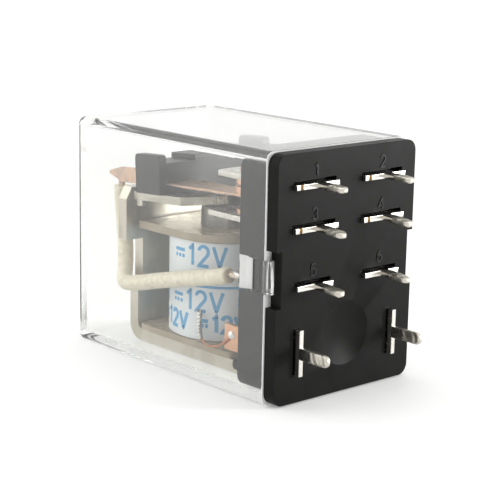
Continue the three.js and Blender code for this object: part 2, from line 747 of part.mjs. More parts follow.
// A flange of the bobbin: straight toward the yoke, round or square toward the base.
function flangeOutline(half, front, roundFront) {
  const rear = YOKE_INNER + 0.65;
  if (!roundFront) {
    return rounded(rear, front, -half, half, 0.8, 3);
  }
  const points = [];
  for (let i = 0; i <= 16; i += 1) {
    const angle = THREE.MathUtils.degToRad(-90 + 11.25 * i);
    points.push([COIL_X + half * Math.cos(angle), half * Math.sin(angle)]);
  }
  points.push([rear, half]);
  points.push([rear, -half]);
  return points;
}

function makeBobbin() {
  const half = COIL_RADIUS + 0.25;
  const seat = YOKE_SEAT + PRESS_FIT;
  const tube = post(COIL_X, 0, seat, TOP_FLANGE_Z, CORE_RADIUS + CORE_FIT + BOBBIN_WALL, 36);
  const top = plan(flangeOutline(half, 0, true), TOP_FLANGE_Z - BOBBIN_WALL, TOP_FLANGE_Z);
  const lower = plan(flangeOutline(half, LOWER_FLANGE_FRONT, false), seat, seat + LOWER_FLANGE_THICK);
  const bore = post(COIL_X, 0, seat - 1, TOP_FLANGE_Z + 1, CORE_RADIUS + CORE_FIT, 36);
  return tube.add(top).add(lower).subtract(bore);
}

// A ring that fills the bobbin's channel between two radii.
function windingRing(inner, outer, shorter) {
  const low = YOKE_SEAT + PRESS_FIT + LOWER_FLANGE_THICK + shorter;
  const high = TOP_FLANGE_Z - BOBBIN_WALL - shorter;
  const body = post(COIL_X, 0, low, high, outer, 48);
  return body.subtract(post(COIL_X, 0, low - 1, high + 1, inner, 48));
}

function makeReturnSpring() {
  const low = HOOK_Z + 1.0;
  const high = HINGE.z - 0.9;
  const points = [
    new THREE.Vector3(RETURN_X, 0, HOOK_Z - 0.95),
    new THREE.Vector3(RETURN_X, 0, HOOK_Z + 0.1),
    new THREE.Vector3(RETURN_X + 0.3, 0, HOOK_Z + 0.6),
  ];
  const steps = RETURN_TURNS * 10;
  for (let i = 0; i <= steps; i += 1) {
    const angle = (2 * Math.PI * i) / 10;
    const x = RETURN_X + RETURN_RADIUS * Math.cos(angle);
    points.push(new THREE.Vector3(x, RETURN_RADIUS * Math.sin(angle), low + ((high - low) * i) / steps));
  }
  points.push(new THREE.Vector3(RETURN_X + 0.3, 0, high + 0.35));
  points.push(new THREE.Vector3(RETURN_X, 0, high + 0.75));
  points.push(new THREE.Vector3(RETURN_X, 0, HINGE.z + ARMATURE_THICK + 0.3));
  return wire(points, RETURN_WIRE, 0, 190, 6);
}

// ---- wires ---------------------------------------------------------------

// Route of a lead wire: from the tab of the moving spring, down behind the yoke and forward to the base.
function leadRoute(side) {
  const tabInner = side * (COLUMN_Y + SPRING_WIDTH / 2 - SPRING_THICK - STRAND_RADIUS - 0.06);
  const tabX = YOKE_OUTER - 1.95;
  const bladeEdge = side * (COLUMN_Y + COM_WIDTH / 2 + STRAND_RADIUS + 0.05);
  const bladeX = (COM_END + SKIRT_END) / 2;
  const besideCoil = YOKE_OUTER + 7.6;
  const beforeBase = COM_END - 2.8;
  return {
    top: [
      new THREE.Vector3(tabX, tabInner, SPRING_Z + 0.75),
      new THREE.Vector3(tabX, tabInner, SPRING_Z - 1.2),
    ],
    middle: [
      place(side, YOKE_OUTER - 2.26, 2.15, 4.82),
      place(side, YOKE_OUTER - 2.2, 2.6, -0.6),
      place(side, YOKE_OUTER - 1.6, 2.15, -3.5),
      place(side, YOKE_OUTER + 0.4, 0.56, -4.7),
      place(side, YOKE_OUTER + 3.5, 0.05, -4.25),
      place(side, besideCoil, 0, -3.2),
      place(side, (besideCoil + beforeBase) / 2, 0, -2.0),
      place(side, beforeBase, 0.05, -0.85),
      place(side, COM_END - 0.7, 0.215, -0.25),
    ],
    end: [
      new THREE.Vector3(COM_END - 0.1, bladeEdge, ROW_COM_Z - 0.05),
      new THREE.Vector3(bladeX, bladeEdge, ROW_COM_Z),
    ],
  };
}

function leadStrand(side) {
  const route = leadRoute(side);
  return wire([...route.top, ...route.middle, ...route.end], STRAND_RADIUS, 0, 44, 8);
}

function leadSleeve(side) {
  const route = leadRoute(side);
  return wire([route.top[1], ...route.middle], LEAD_RADIUS, LEAD_BORE, 38, 12);
}

// End of the coil winding: a twist beside the coil that runs forward to the coil terminal.
function coilLead(side) {
  const besideBlade = side * (COIL_PIN_Y + BLADE_THICK / 2 + COIL_WIRE_RADIUS + 0.05);
  const startRadius = COIL_RADIUS + COIL_WIRE_RADIUS + COIL_LEAD_PLAY;
  const startX = COIL_X + startRadius * Math.cos(COIL_LEAD_ANGLE);
  const startY = side * startRadius * Math.sin(COIL_LEAD_ANGLE);
  const seat = YOKE_SEAT + PRESS_FIT + LOWER_FLANGE_THICK + COIL_WIRE_RADIUS + 0.1;
  const points = [
    new THREE.Vector3(startX, startY, seat + 3.4),
    new THREE.Vector3(startX, startY, seat + 1.2),
    new THREE.Vector3(startX + 0.5, startY + side * 0.2, seat + 0.1),
    new THREE.Vector3(startX + 2.4, startY + side * 0.55, seat),
    new THREE.Vector3(COIL_LUG_END - 0.4, besideBlade, COIL_LUG_Z - COIL_LUG_TALL / 2 + 0.2),
    new THREE.Vector3(COIL_LUG_END + 1.0, besideBlade, COIL_LUG_Z - 0.2),
  ];
  return wire(points, COIL_WIRE_RADIUS, 0, 26, 8);
}

// ---- assembly ------------------------------------------------------------

const relay = new THREE.Group();
relay.name = "plug_in_relay";

const moving = new THREE.Group();
moving.name = "armature_group";
moving.position.copy(HINGE);
moving.rotation.y = -REST_TILT;
relay.add(moving);

// Meshes of the moving group are drawn in the pulled in position, so they are shifted to the hinge.
function addPiece(name, body, colour, metalness, roughness, extra = {}, home = relay) {
  const geometry = geometryOf(body);
  if (home === moving) {
    geometry.translate(-HINGE.x, -HINGE.y, -HINGE.z);
  }
  const material = new THREE.MeshStandardMaterial({ color: colour, metalness, roughness, ...extra });
  const mesh = new THREE.Mesh(geometry, material);
  mesh.name = name;
  home.add(mesh);
}

const CLEAR = { transparent: true, opacity: 0.3 };

addPiece("base", makeBase(), 0x343534, 0, 0.6);
addPiece("cover", makeCover(), 0xe6eaea, 0, 0.1, CLEAR);
addPiece("yoke", makeYoke(), 0xb8b5a8, 0.9, 0.4);
addPiece("core", makeCore(), 0x9a978c, 0.9, 0.45);
addPiece("bobbin", makeBobbin(), 0xa8a294, 0, 0.5);
const windingInner = CORE_RADIUS + CORE_FIT + BOBBIN_WALL + WINDING_FIT;
const windingOuter = COIL_RADIUS - LABEL_THICK - LABEL_FIT;
addPiece("winding", windingRing(windingInner, windingOuter, 0.04), 0xb4683a, 0.6, 0.4);
addPiece(
  "coil_label",
  windingRing(COIL_RADIUS - LABEL_THICK, COIL_RADIUS, 0.08),
  0xeceae4,
  0,
  0.7,
);
addPiece("return_spring", makeReturnSpring(), 0xc4c2bc, 1, 0.3);

const restTop = releasedHeight(CONTACT_X, PAD_Z + CONTACT_RISE);
const closedFace = PAD_Z - CONTACT_DROP - CONTACT_PLAY;
for (const [side, nc, no, com, coil] of [
  [-1, 1, 3, 5, 7],
  [1, 2, 4, 6, 8],
]) {
  const tag = side < 0 ? "a" : "b";
  addPiece(`terminal_${nc}`, contactBlade(side, ROW_NC_Z, NC_END), 0xd8d6cf, 1, 0.3);
  addPiece(`terminal_${no}`, contactBlade(side, ROW_NO_Z, NO_END), 0xd8d6cf, 1, 0.3);
  addPiece(`terminal_${com}`, lyingBlade(side, ROW_COM_Z, COM_WIDTH, COM_END), 0xd8d6cf, 1, 0.3);
  addPiece(`terminal_${coil}`, coilBlade(side), 0xd8d6cf, 1, 0.3);
  addPiece(`contact_nc_${tag}`, fixedContact(side, ROW_NC_Z, restTop + CONTACT_PLAY), 0xd9a27c, 1, 0.3);
  addPiece(`contact_no_${tag}`, fixedContact(side, ROW_NO_Z, closedFace), 0xd9a27c, 1, 0.3);
  addPiece(`moving_spring_${tag}`, movingSpring(side), 0xc98a5c, 1, 0.35, {}, moving);
  addPiece(`moving_contact_${tag}`, movingContact(side), 0xd9a27c, 1, 0.3, {}, moving);
  addPiece(`lead_sleeve_${tag}`, leadSleeve(side), 0xe4dcc6, 0, 0.6);
  addPiece(`lead_strand_${tag}`, leadStrand(side), 0xc9b8a0, 1, 0.4);
  addPiece(`coil_lead_${tag}`, coilLead(side), 0xc07a48, 0.9, 0.35);
}
addPiece("armature", makeArmature(), 0xc2bfb3, 0.9, 0.4, {}, moving);
addPiece("carrier", makeCarrier(), 0x383938, 0, 0.55, {}, moving);

export default relay;
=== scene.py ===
"""Plug in relay with a clear cover: the looks of the part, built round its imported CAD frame.

Lengths in this file are millimetres unless a name ends in _m. Meshes are turned into metres
when they are made.
"""

import logging
import math
from dataclasses import dataclass, field
from enum import Enum
from typing import Callable, Dict, List, Optional, Sequence, Tuple

import bmesh
import bpy
import numpy as np
from mathutils import Matrix, Vector


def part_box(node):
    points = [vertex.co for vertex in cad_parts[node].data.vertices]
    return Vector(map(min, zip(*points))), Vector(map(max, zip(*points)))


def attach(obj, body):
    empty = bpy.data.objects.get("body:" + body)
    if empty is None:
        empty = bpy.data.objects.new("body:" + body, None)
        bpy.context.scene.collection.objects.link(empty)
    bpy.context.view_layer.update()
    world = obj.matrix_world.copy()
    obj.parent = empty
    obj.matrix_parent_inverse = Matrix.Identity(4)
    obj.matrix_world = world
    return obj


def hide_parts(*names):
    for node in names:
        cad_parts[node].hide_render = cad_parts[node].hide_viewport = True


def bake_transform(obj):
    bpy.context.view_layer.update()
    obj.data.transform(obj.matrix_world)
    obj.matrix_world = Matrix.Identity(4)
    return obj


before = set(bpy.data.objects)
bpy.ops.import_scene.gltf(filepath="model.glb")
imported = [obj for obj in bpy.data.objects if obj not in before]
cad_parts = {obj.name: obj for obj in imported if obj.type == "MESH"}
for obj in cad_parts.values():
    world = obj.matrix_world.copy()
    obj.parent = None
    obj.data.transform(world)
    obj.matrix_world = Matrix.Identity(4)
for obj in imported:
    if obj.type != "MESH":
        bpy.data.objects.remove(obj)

LOG = logging.getLogger("relay")
MM = 0.001
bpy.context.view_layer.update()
HOUSING = "relay_body"
MOVER = "armature_group"

Array = np.ndarray
Colour = Tuple[float, float, float]


class Side(Enum):
    """The two poles: A is the -Y side and B the +Y side."""

    A = -1.0
    B = 1.0

    @property
    def tag(self) -> str:
        """The letter that ends this pole's node names."""
        return self.name.lower()


# ---- meshes ----------------------------------------------------------------


def signed_volume(points: Array, faces: Sequence[Array]) -> float:
    """Volume inside a closed mesh, negative when its faces point inwards.

    Each face is fanned into triangles, and a triangle adds a sixth of the
    triple product of its corners.

    Args:
        points: Vertex positions, one row each.
        faces: Arrays of vertex numbers, each with faces of one size.

    Returns:
        The signed volume.
    """
    total = 0.0
    for group in faces:
        for k in range(1, group.shape[1] - 1):
            a, b, c = points[group[:, 0]], points[group[:, k]], points[group[:, k + 1]]
            total += float(np.einsum("ij,ij->i", a, np.cross(b, c)).sum()) / 6
    return total


def make_piece(
    name: str,
    points: Array,
    faces: Sequence[Array],
    sharp_deg: float = 32.0,
    uv: Optional[Array] = None,
) -> bpy.types.Object:
    """Makes a closed mesh object at the origin, with its faces turned outwards.

    Args:
        name: Name of the piece.
        points: Vertex positions in millimetres.
        faces: Arrays of vertex numbers, each with faces of one size.
        sharp_deg: Edges that turn more than this stay sharp.
        uv: A pair of numbers for each vertex, for patterns that follow the surface.

    Returns:
        The new object.
    """
    groups = [np.asarray(f, dtype=np.int32) for f in faces if len(f)]
    if signed_volume(points, groups) < 0:
        groups = [g[:, ::-1] for g in groups]
    corners = np.concatenate([g.ravel() for g in groups])
    sizes = np.concatenate([np.full(len(g), g.shape[1]) for g in groups])
    starts = np.concatenate([[0], np.cumsum(sizes)[:-1]])
    mesh = bpy.data.meshes.new(name)
    mesh.vertices.add(len(points))
    mesh.vertices.foreach_set("co", (points * MM).astype(np.float32).ravel())
    mesh.loops.add(len(corners))
    mesh.loops.foreach_set("vertex_index", corners.astype(np.int32))
    mesh.polygons.add(len(sizes))
    mesh.polygons.foreach_set("loop_start", starts.astype(np.int32))
    mesh.update(calc_edges=True)
    mesh.validate()
    mesh.polygons.foreach_set("use_smooth", np.ones(len(mesh.polygons), dtype=bool))
    mesh.set_sharp_from_angle(angle=math.radians(sharp_deg))
    if uv is not None:
        layer = mesh.uv_layers.new(name="route")
        layer.data.foreach_set("uv", uv[corners].astype(np.float32).ravel())
    piece = bpy.data.objects.new(name, mesh)
    bpy.context.scene.collection.objects.link(piece)
    return piece


def ring_faces(rows: int, columns: int, first: int = 0) -> Array:
    """Quads between neighbouring rings of a lofted surface.

    Args:
        rows: Number of rings.
        columns: Points on each ring.
        first: Number of the first vertex.

    Returns:
        One row of four vertex numbers for each quad.
    """
    row = np.arange(rows - 1)[:, None] * columns
    here = np.arange(columns)[None, :]
    there = (here + 1) % columns
    quads = np.stack(
        [row + here, row + there, row + columns + there, row + columns + here], axis=-1
    )
    return quads.reshape(-1, 4) + first


def loft(rings: Array, first: int = 0) -> Tuple[Array, List[Array]]:
    """A closed skin over rings, with a flat cap on each end.

    Args:
        rings: Positions shaped (rings, points, 3).
        first: Number of the first vertex.

    Returns:
        The points, and the faces as arrays.
    """
    rows, columns = rings.shape[:2]
    ends = np.arange(columns)
    caps = [(ends[::-1] + first)[None, :], (ends + (rows - 1) * columns + first)[None, :]]
    return rings.reshape(-1, 3), [ring_faces(rows, columns, first), *caps]


def run_length(points: Array) -> Array:
    """How far along a path each of its points lies.

    Args:
        points: The path.

    Returns:
        The lengths, from zero.
    """
    return np.concatenate([[0], np.cumsum(np.linalg.norm(np.diff(points, axis=0), axis=1))])


def join_shells(shells: Sequence[Tuple[Array, List[Array]]]) -> Tuple[Array, List[Array]]:
    """Puts several closed shells in one mesh, each turned outwards first.

    Args:
        shells: Points and faces of each shell.

    Returns:
        The points and faces of all of them.
    """
    points: List[Array] = []
    faces: List[Array] = []
    count = 0
    for shell, groups in shells:
        inward = signed_volume(shell, groups) < 0
        faces += [(g[:, ::-1] if inward else g) + count for g in groups]
        points.append(shell)
        count += len(shell)
    return np.concatenate(points), faces


def rounded_rectangle(half_u: float, half_v: float, radius: float, steps: int = 8) -> Array:
    """Outline of a rectangle with quarter circles for corners.

    Each corner adds its centre plus the radius along an angle that sweeps a
    quarter turn, with one more point a little way along each flat, which keeps
    the shading of the flats level.

    Args:
        half_u: Half the first side.
        half_v: Half the second side.
        radius: Corner radius.
        steps: Steps in each quarter circle.

    Returns:
        Counterclockwise points, one row each.
    """
    quarter = np.linspace(0, np.pi / 2, steps + 1)
    lead = min(0.04, 0.4 * radius)
    outline = []
    for k, (su, sv) in enumerate(((1, -1), (1, 1), (-1, 1), (-1, -1))):
        angle = quarter + (k - 1) * np.pi / 2
        centre = np.array([su * (half_u - radius), sv * (half_v - radius)])
        arc = centre + radius * np.stack([np.cos(angle), np.sin(angle)], axis=-1)
        before = arc[0] - lead * np.array([-np.sin(angle[0]), np.cos(angle[0])])
        after = arc[-1] + lead * np.array([-np.sin(angle[-1]), np.cos(angle[-1])])
        outline.append(np.vstack([before, arc, after]))
    return np.concatenate(outline)


def inset(outline: Array, distance: float) -> Array:
    """Moves a counterclockwise outline inwards by a distance.

    Each point moves along the mitre of its two edges: the sum of the edge
    normals over one plus their dot product.

    Args:
        outline: Points of the outline.
        distance: How far the edges move in.

    Returns:
        The moved points.
    """
    edge = np.roll(outline, -1, axis=0) - outline
    edge = edge / np.linalg.norm(edge, axis=1, keepdims=True)
    normal = np.stack([-edge[:, 1], edge[:, 0]], axis=-1)
    before = np.roll(normal, 1, axis=0)
    share = 1 + np.einsum("ij,ij->i", normal, before)
    mitre = (normal + before) / np.maximum(share, 0.35)[:, None]
    return outline + distance * mitre


def plate(
    outline: Array, thickness: float, edge: float, to_space: Callable[[Array, Array, Array], Array]
) -> Tuple[Array, List[Array]]:
    """A flat stamping with softened edges.

    The outline is drawn through the thickness, and at each face it moves in by
    edge times one minus the cosine of an angle while the level goes out by edge
    times the sine.

    Args:
        outline: Counterclockwise outline.
        thickness: Thickness of the sheet.
        edge: Radius of the softened edges.
        to_space: Turns outline coordinates and a level into points in space.

    Returns:
        The points and faces.
    """
    angle = np.radians([90.0, 55.0, 25.0, 0.0])
    move = edge * (1 - np.cos(angle))
    rise = edge * np.sin(angle)
    top = thickness / 2 - edge
    levels = np.concatenate([-(top + rise), (top + rise)[::-1]])
    moves = np.concatenate([move, move[::-1]])
    rings = np.stack(
        [
            to_space(flat[:, 0], flat[:, 1], np.full(len(flat), level))
            for flat, level in ((inset(outline, m), l) for m, l in zip(moves, levels))
        ]
    )
    return loft(rings)


def smooth_path(points: Sequence[Sequence[float]], count: int) -> Array:
    """A smooth line through points, evenly spaced along its length.

    Each stretch is a cubic whose end slopes are half the difference of the
    neighbouring points, and the result is spaced again by length.

    Args:
        points: Points to pass through.
        count: Number of points wanted.

    Returns:
        Points on the line.
    """
    p = np.asarray(points, dtype=float)
    chord = np.concatenate([[0], np.cumsum(np.linalg.norm(np.diff(p, axis=0), axis=1) ** 0.5)])
    slope = np.gradient(p, chord, axis=0)
    s = np.linspace(0, chord[-1], 40 * len(p))
    k = np.clip(np.searchsorted(chord, s, side="right") - 1, 0, len(p) - 2)
    span = (chord[k + 1] - chord[k])[:, None]
    t = ((s - chord[k])[:, None]) / span
    line = (
        (2 * t**3 - 3 * t**2 + 1) * p[k]
        + (t**3 - 2 * t**2 + t) * span * slope[k]
        + (3 * t**2 - 2 * t**3) * p[k + 1]
        + (t**3 - t**2) * span * slope[k + 1]
    )
    run = run_length(line)
    even = np.linspace(0, run[-1], count)
    return np.stack([np.interp(even, run, line[:, i]) for i in range(3)], axis=-1)


def carried_frames(path: Array) -> Tuple[Array, Array, Array]:
    """Tangents and two cross directions along a path, without twist.

    Each cross direction is the one before it with its part along the new
    tangent taken away.

    Args:
        path: Points on the path.

    Returns:
        Tangents, first cross directions and second cross directions.
    """
    tangent = np.gradient(path, axis=0)
    tangent /= np.linalg.norm(tangent, axis=1, keepdims=True)
    start = np.array([0.0, 0.0, 1.0]) if abs(tangent[0, 2]) < 0.9 else np.array([0.0, 1.0, 0.0])
    across = np.empty_like(tangent)
    for i, t in enumerate(tangent):
        start = start - t * float(start @ t)
        start = start / np.linalg.norm(start)
        across[i] = start
    return tangent, across, np.cross(tangent, across)


def tube(
    path: Array, radius: Array, sides: int = 20, wobble: float = 0.0, phase: float = 0.0
) -> Tuple[Array, List[Array], Array]:
    """A round tube along a path, closed at both ends.

    A point is the path point plus the radius along an angle in the plane of the
    two cross directions. The radius may swell and shrink a little with slow
    sines of the length and the angle.

    Args:
        path: Points on the path.
        radius: Radius at each point, or one number.
        sides: Points around the tube.
        wobble: Share of the radius that the sines add.
        phase: Start of the sines.

    Returns:
        Points, faces, and a pair (around, along) for each point.
    """
    _, across, second = carried_frames(path)
    angle = np.linspace(0, 2 * np.pi, sides, endpoint=False)[None, :]
    run = run_length(path)[:, None]
    swell = 1 + wobble * (
        np.sin(1.7 * run + phase) * 0.6 + np.sin(4.1 * run + 2 * angle + 2 * phase) * 0.4
    )
    r = np.broadcast_to(np.asarray(radius, dtype=float).reshape(-1, 1), (len(path), 1)) * swell
    rings = (
        path[:, None, :]
        + (r * np.cos(angle))[..., None] * across[:, None, :]
        + (r * np.sin(angle))[..., None] * second[:, None, :]
    )
    points, faces = loft(rings)
    around = np.broadcast_to(angle / (2 * np.pi), r.shape)
    along = np.broadcast_to(run, r.shape)
    return points, faces, np.stack([around, along], axis=-1).reshape(-1, 2)


def bead(centre: Sequence[float], size: Sequence[float], seed: int) -> Tuple[Array, List[Array]]:
    """A lump of solder: an ellipsoid whose surface swells with slow sines.

    A point is the centre plus the size times the unit direction, times one plus
    three sines of the angles.

    Args:
        centre: Middle of the lump.
        size: Half its size along X, Y and Z.
        seed: Chooses the phases of the sines.

    Returns:
        The points and faces.
    """
    phase = np.random.default_rng(seed).uniform(0, 6.28, 3)
    up = np.linspace(0.06, np.pi - 0.06, 18)[:, None]
    round_ = np.linspace(0, 2 * np.pi, 28, endpoint=False)[None, :]
    direction = np.stack(
        [np.sin(up) * np.cos(round_), np.sin(up) * np.sin(round_), np.cos(up) + 0 * round_], axis=-1
    )
    lump = 1 + 0.10 * np.sin(2 * round_ + phase[0]) * np.sin(up) + 0.07 * np.sin(3 * up + phase[1])
    lump = lump + 0.05 * np.sin(5 * round_ + 3 * up + phase[2]) * np.sin(up)
    rings = np.asarray(centre) + direction * np.asarray(size) * lump[..., None]
    return loft(rings)


# ---- print and moulded figures ----------------------------------------------


class Figures:
    """Plain stroke figures, drawn in a box one unit high.

    Each figure is a list of strokes, and a stroke is a line of points. Curved
    strokes are arcs of an ellipse.
    """

    @staticmethod
    def arc(
        u: float, v: float, ru: float, rv: float, start: float, stop: float, count: int = 22
    ) -> Array:
        """Points on an arc: the centre plus each half axis times the cosine or sine of the angle.

        Args:
            u: Centre across.
            v: Centre up.
            ru: Half axis across.
            rv: Half axis up.
            start: First angle in degrees.
            stop: Last angle in degrees.
            count: Number of points.

        Returns:
            The points.
        """
        angle = np.radians(np.linspace(start, stop, count))
        return np.stack([u + ru * np.cos(angle), v + rv * np.sin(angle)], axis=-1)

    @classmethod
    def strokes(cls, sign: str) -> Tuple[List[Array], float]:
        """Strokes of one sign.

        Args:
            sign: A numeral, V, or = for the sign of direct current.

        Returns:
            The strokes, and the width of the sign.
        """
        line = lambda *pairs: np.array(pairs, dtype=float)
        joined = lambda *parts: [np.vstack(parts)]
        arc = cls.arc
        bars = ((0.0, 0.72, 0.66), (0.0, 0.18, 0.36), (0.27, 0.45, 0.36), (0.54, 0.72, 0.36))
        table: Dict[str, Tuple[List[Array], float]] = {
            "1": ([line((0.05, 0.78), (0.27, 1.0), (0.27, 0.0))], 0.36),
            "2": (
                joined(arc(0.28, 0.71, 0.26, 0.28, 168, -38), line((0.03, 0.0), (0.56, 0.0))),
                0.56,
            ),
            "3": (
                joined(
                    arc(0.27, 0.74, 0.23, 0.25, 160, -80), arc(0.27, 0.26, 0.27, 0.26, 80, -160)
                ),
                0.56,
            ),
            "4": ([line((0.42, 0.0), (0.42, 1.0), (0.0, 0.28), (0.58, 0.28))], 0.6),
            "5": (
                joined(
                    line((0.5, 1.0), (0.1, 1.0), (0.05, 0.55)),
                    arc(0.27, 0.32, 0.27, 0.31, 120, -155),
                ),
                0.56,
            ),
            "6": (
                joined(arc(0.5, 0.3, 0.46, 0.7, 100, 180), arc(0.3, 0.3, 0.26, 0.3, 180, -180, 34)),
                0.58,
            ),
            "V": ([line((0.0, 1.0), (0.32, 0.0), (0.64, 1.0))], 0.66),
            "=": ([line((left, level), (right, level)) for left, right, level in bars], 0.74),
            " ": ([], 0.22),
        }
        return table[sign]

    @classmethod
    def shells(
        cls, text: str, height: float, weight: float, deep: float,
        to_space: Callable[[Array, Array, Array], Array],
    ) -> List[Tuple[Array, List[Array]]]:
        """Raised strokes of a row of signs.

        A stroke is a ribbon: each path point moves half the weight to either
        side, and the ribbon is drawn up by its depth.

        Args:
            text: The signs.
            height: Height of the signs.
            weight: Width of a stroke.
            deep: How far the strokes stand up.
            to_space: Turns (across, up, level) into points.

        Returns:
            One closed shell for each stroke.
        """
        made = []
        pen = 0.0
        for sign in text:
            strokes, wide = cls.strokes(sign)
            for stroke in strokes:
                made.append(cls.ribbon(stroke * height + [pen, 0.0], weight, deep, to_space))
            pen += (wide + 0.24) * height
        return made

    @staticmethod
    def width(text: str, height: float) -> float:
        """Width of a row of signs."""
        return sum(Figures.strokes(sign)[1] + 0.24 for sign in text) * height - 0.24 * height

    @staticmethod
    def ribbon(
        line: Array, weight: float, deep: float, to_space: Callable[[Array, Array, Array], Array]
    ) -> Tuple[Array, List[Array]]:
        """One stroke as a closed shell.

        The line is cut into short steps first, so that it can follow a curved
        surface, and each corner is mitred.

        Args:
            line: Points of the stroke.
            weight: Width of the stroke.
            deep: Height of the stroke over the surface.
            to_space: Turns (across, up, level) into points.

        Returns:
            The points and faces.
        """
        step = np.linalg.norm(np.diff(line, axis=0), axis=1)
        run = np.concatenate([[0], np.cumsum(step)])
        extra = np.arange(0, run[-1], 0.18)
        at = np.unique(np.round(np.concatenate([run, extra]), 4))
        at = at[np.concatenate([[True], np.diff(at) > 1e-3])]
        line = np.stack([np.interp(at, run, line[:, i]) for i in range(2)], axis=-1)
        edge = np.diff(line, axis=0)
        edge /= np.linalg.norm(edge, axis=1, keepdims=True)
        before = np.vstack([edge[:1], edge])
        after = np.vstack([edge, edge[-1:]])
        normal = np.stack([-(before + after)[:, 1], (before + after)[:, 0]], axis=-1)
        share = 1 + np.einsum("ij,ij->i", before, after)
        normal /= np.maximum(share, 0.5)[:, None]
        left = line + normal * weight / 2
        right = line - normal * weight / 2
        rings = np.stack(
            [
                to_space(left[:, 0], left[:, 1], np.zeros(len(line))),
                to_space(right[:, 0], right[:, 1], np.zeros(len(line))),
                to_space(right[:, 0], right[:, 1], np.full(len(line), deep)),
                to_space(left[:, 0], left[:, 1], np.full(len(line), deep)),
            ],
            axis=1,
        )
        return loft(rings)


# ---- node groups -------------------------------------------------------------


class Sheet:
    """A node tree with short calls for adding and joining nodes."""

    def __init__(self, tree: bpy.types.NodeTree) -> None:
        """Keeps the tree."""
        self.tree = tree

    def add(self, kind: str, **settings: object) -> bpy.types.Node:
        """Adds a node and sets its plain properties.

        Args:
            kind: Class name of the node.
            settings: Properties to set on it.

        Returns:
            The node.
        """
        node = self.tree.nodes.new(kind)
        for key, value in settings.items():
            setattr(node, key, value)
        return node

    def put(self, socket: bpy.types.NodeSocket, value: object) -> None:
        """Links a socket to another, or gives it a plain value."""
        if isinstance(value, bpy.types.NodeSocket):
            self.tree.links.new(value, socket)
        else:
            socket.default_value = value

    def math(
        self, operation: str, a: object, b: object = 0.0, c: object = 0.0, clamp: bool = False
    ):
        """Adds a Math node.

        Args:
            operation: Its operation.
            a: First value or socket.
            b: Second value or socket.
            c: Third value or socket.
            clamp: Whether the result is kept between 0 and 1.

        Returns:
            The result's socket.
        """
        node = self.add("ShaderNodeMath", operation=operation, use_clamp=clamp)
        for socket, value in zip(node.inputs, (a, b, c)):
            self.put(socket, value)
        return node.outputs[0]

    def weigh(self, a: object, share_a: float, b: object, share_b: float):
        """The sum of two values, each times its share.

        Args:
            a: First value.
            share_a: What the first counts for.
            b: Second value.
            share_b: What the second counts for.

        Returns:
            The sum's socket.
        """
        return self.math("MULTIPLY_ADD", a, share_a, self.math("MULTIPLY", b, share_b))

    def remap(
        self, value: object, low: float, high: float, out_low: float = 0.0, out_high: float = 1.0
    ):
        """Smoothly maps a range of values onto another, and returns the socket."""
        node = self.add("ShaderNodeMapRange", interpolation_type="SMOOTHSTEP")
        for socket, item in zip(node.inputs, (value, low, high, out_low, out_high)):
            self.put(socket, item)
        return node.outputs[0]

    def blend(self, factor: object, a: object, b: object):
        """Mixes two colours by a factor, and returns the socket."""
        node = self.add("ShaderNodeMix", data_type="RGBA")
        self.put(node.inputs[0], factor)
        for socket, item in ((node.inputs[6], a), (node.inputs[7], b)):
            self.put(socket, item if isinstance(item, bpy.types.NodeSocket) else (*item, 1.0))
        return node.outputs[2]

    def noise(
        self, vector: object, scale: object, detail: float = 3.0, rough: float = 0.55,
        warp: float = 0.0
    ):
        """Adds a noise texture and returns its value's socket."""
        node = self.add("ShaderNodeTexNoise")
        self.put(node.inputs["Vector"], vector)
        self.put(node.inputs["Scale"], scale)
        node.inputs["Detail"].default_value = detail
        node.inputs["Roughness"].default_value = rough
        node.inputs["Distortion"].default_value = warp
        return node.outputs[0]

    def cells(self, vector: object, scale: object, feature: str = "F1"):
        """Adds a Voronoi texture and returns its distance's socket."""
        node = self.add("ShaderNodeTexVoronoi", feature=feature)
        self.put(node.inputs["Vector"], vector)
        self.put(node.inputs["Scale"], scale)
        return node.outputs["Distance"]

    def stretch(self, vector: object, factors: Sequence[float]):
        """Multiplies a vector by factors and returns the socket."""
        node = self.add("ShaderNodeVectorMath", operation="MULTIPLY")
        self.put(node.inputs[0], vector)
        node.inputs[1].default_value = factors
        return node.outputs[0]

    def axes(self, vector: object) -> Tuple[bpy.types.NodeSocket, ...]:
        """Splits a vector into its three values."""
        node = self.add("ShaderNodeSeparateXYZ")
        self.put(node.inputs[0], vector)
        return tuple(node.outputs[:3])

    def group(self, tree: bpy.types.NodeTree, **values: object) -> bpy.types.Node:
        """Places a node group and sets its inputs by name, with _ for a space."""
        node = self.add("ShaderNodeGroup")
        node.node_tree = tree
        for key, value in values.items():
            self.put(node.inputs[key.replace("_", " ")], value)
        return node


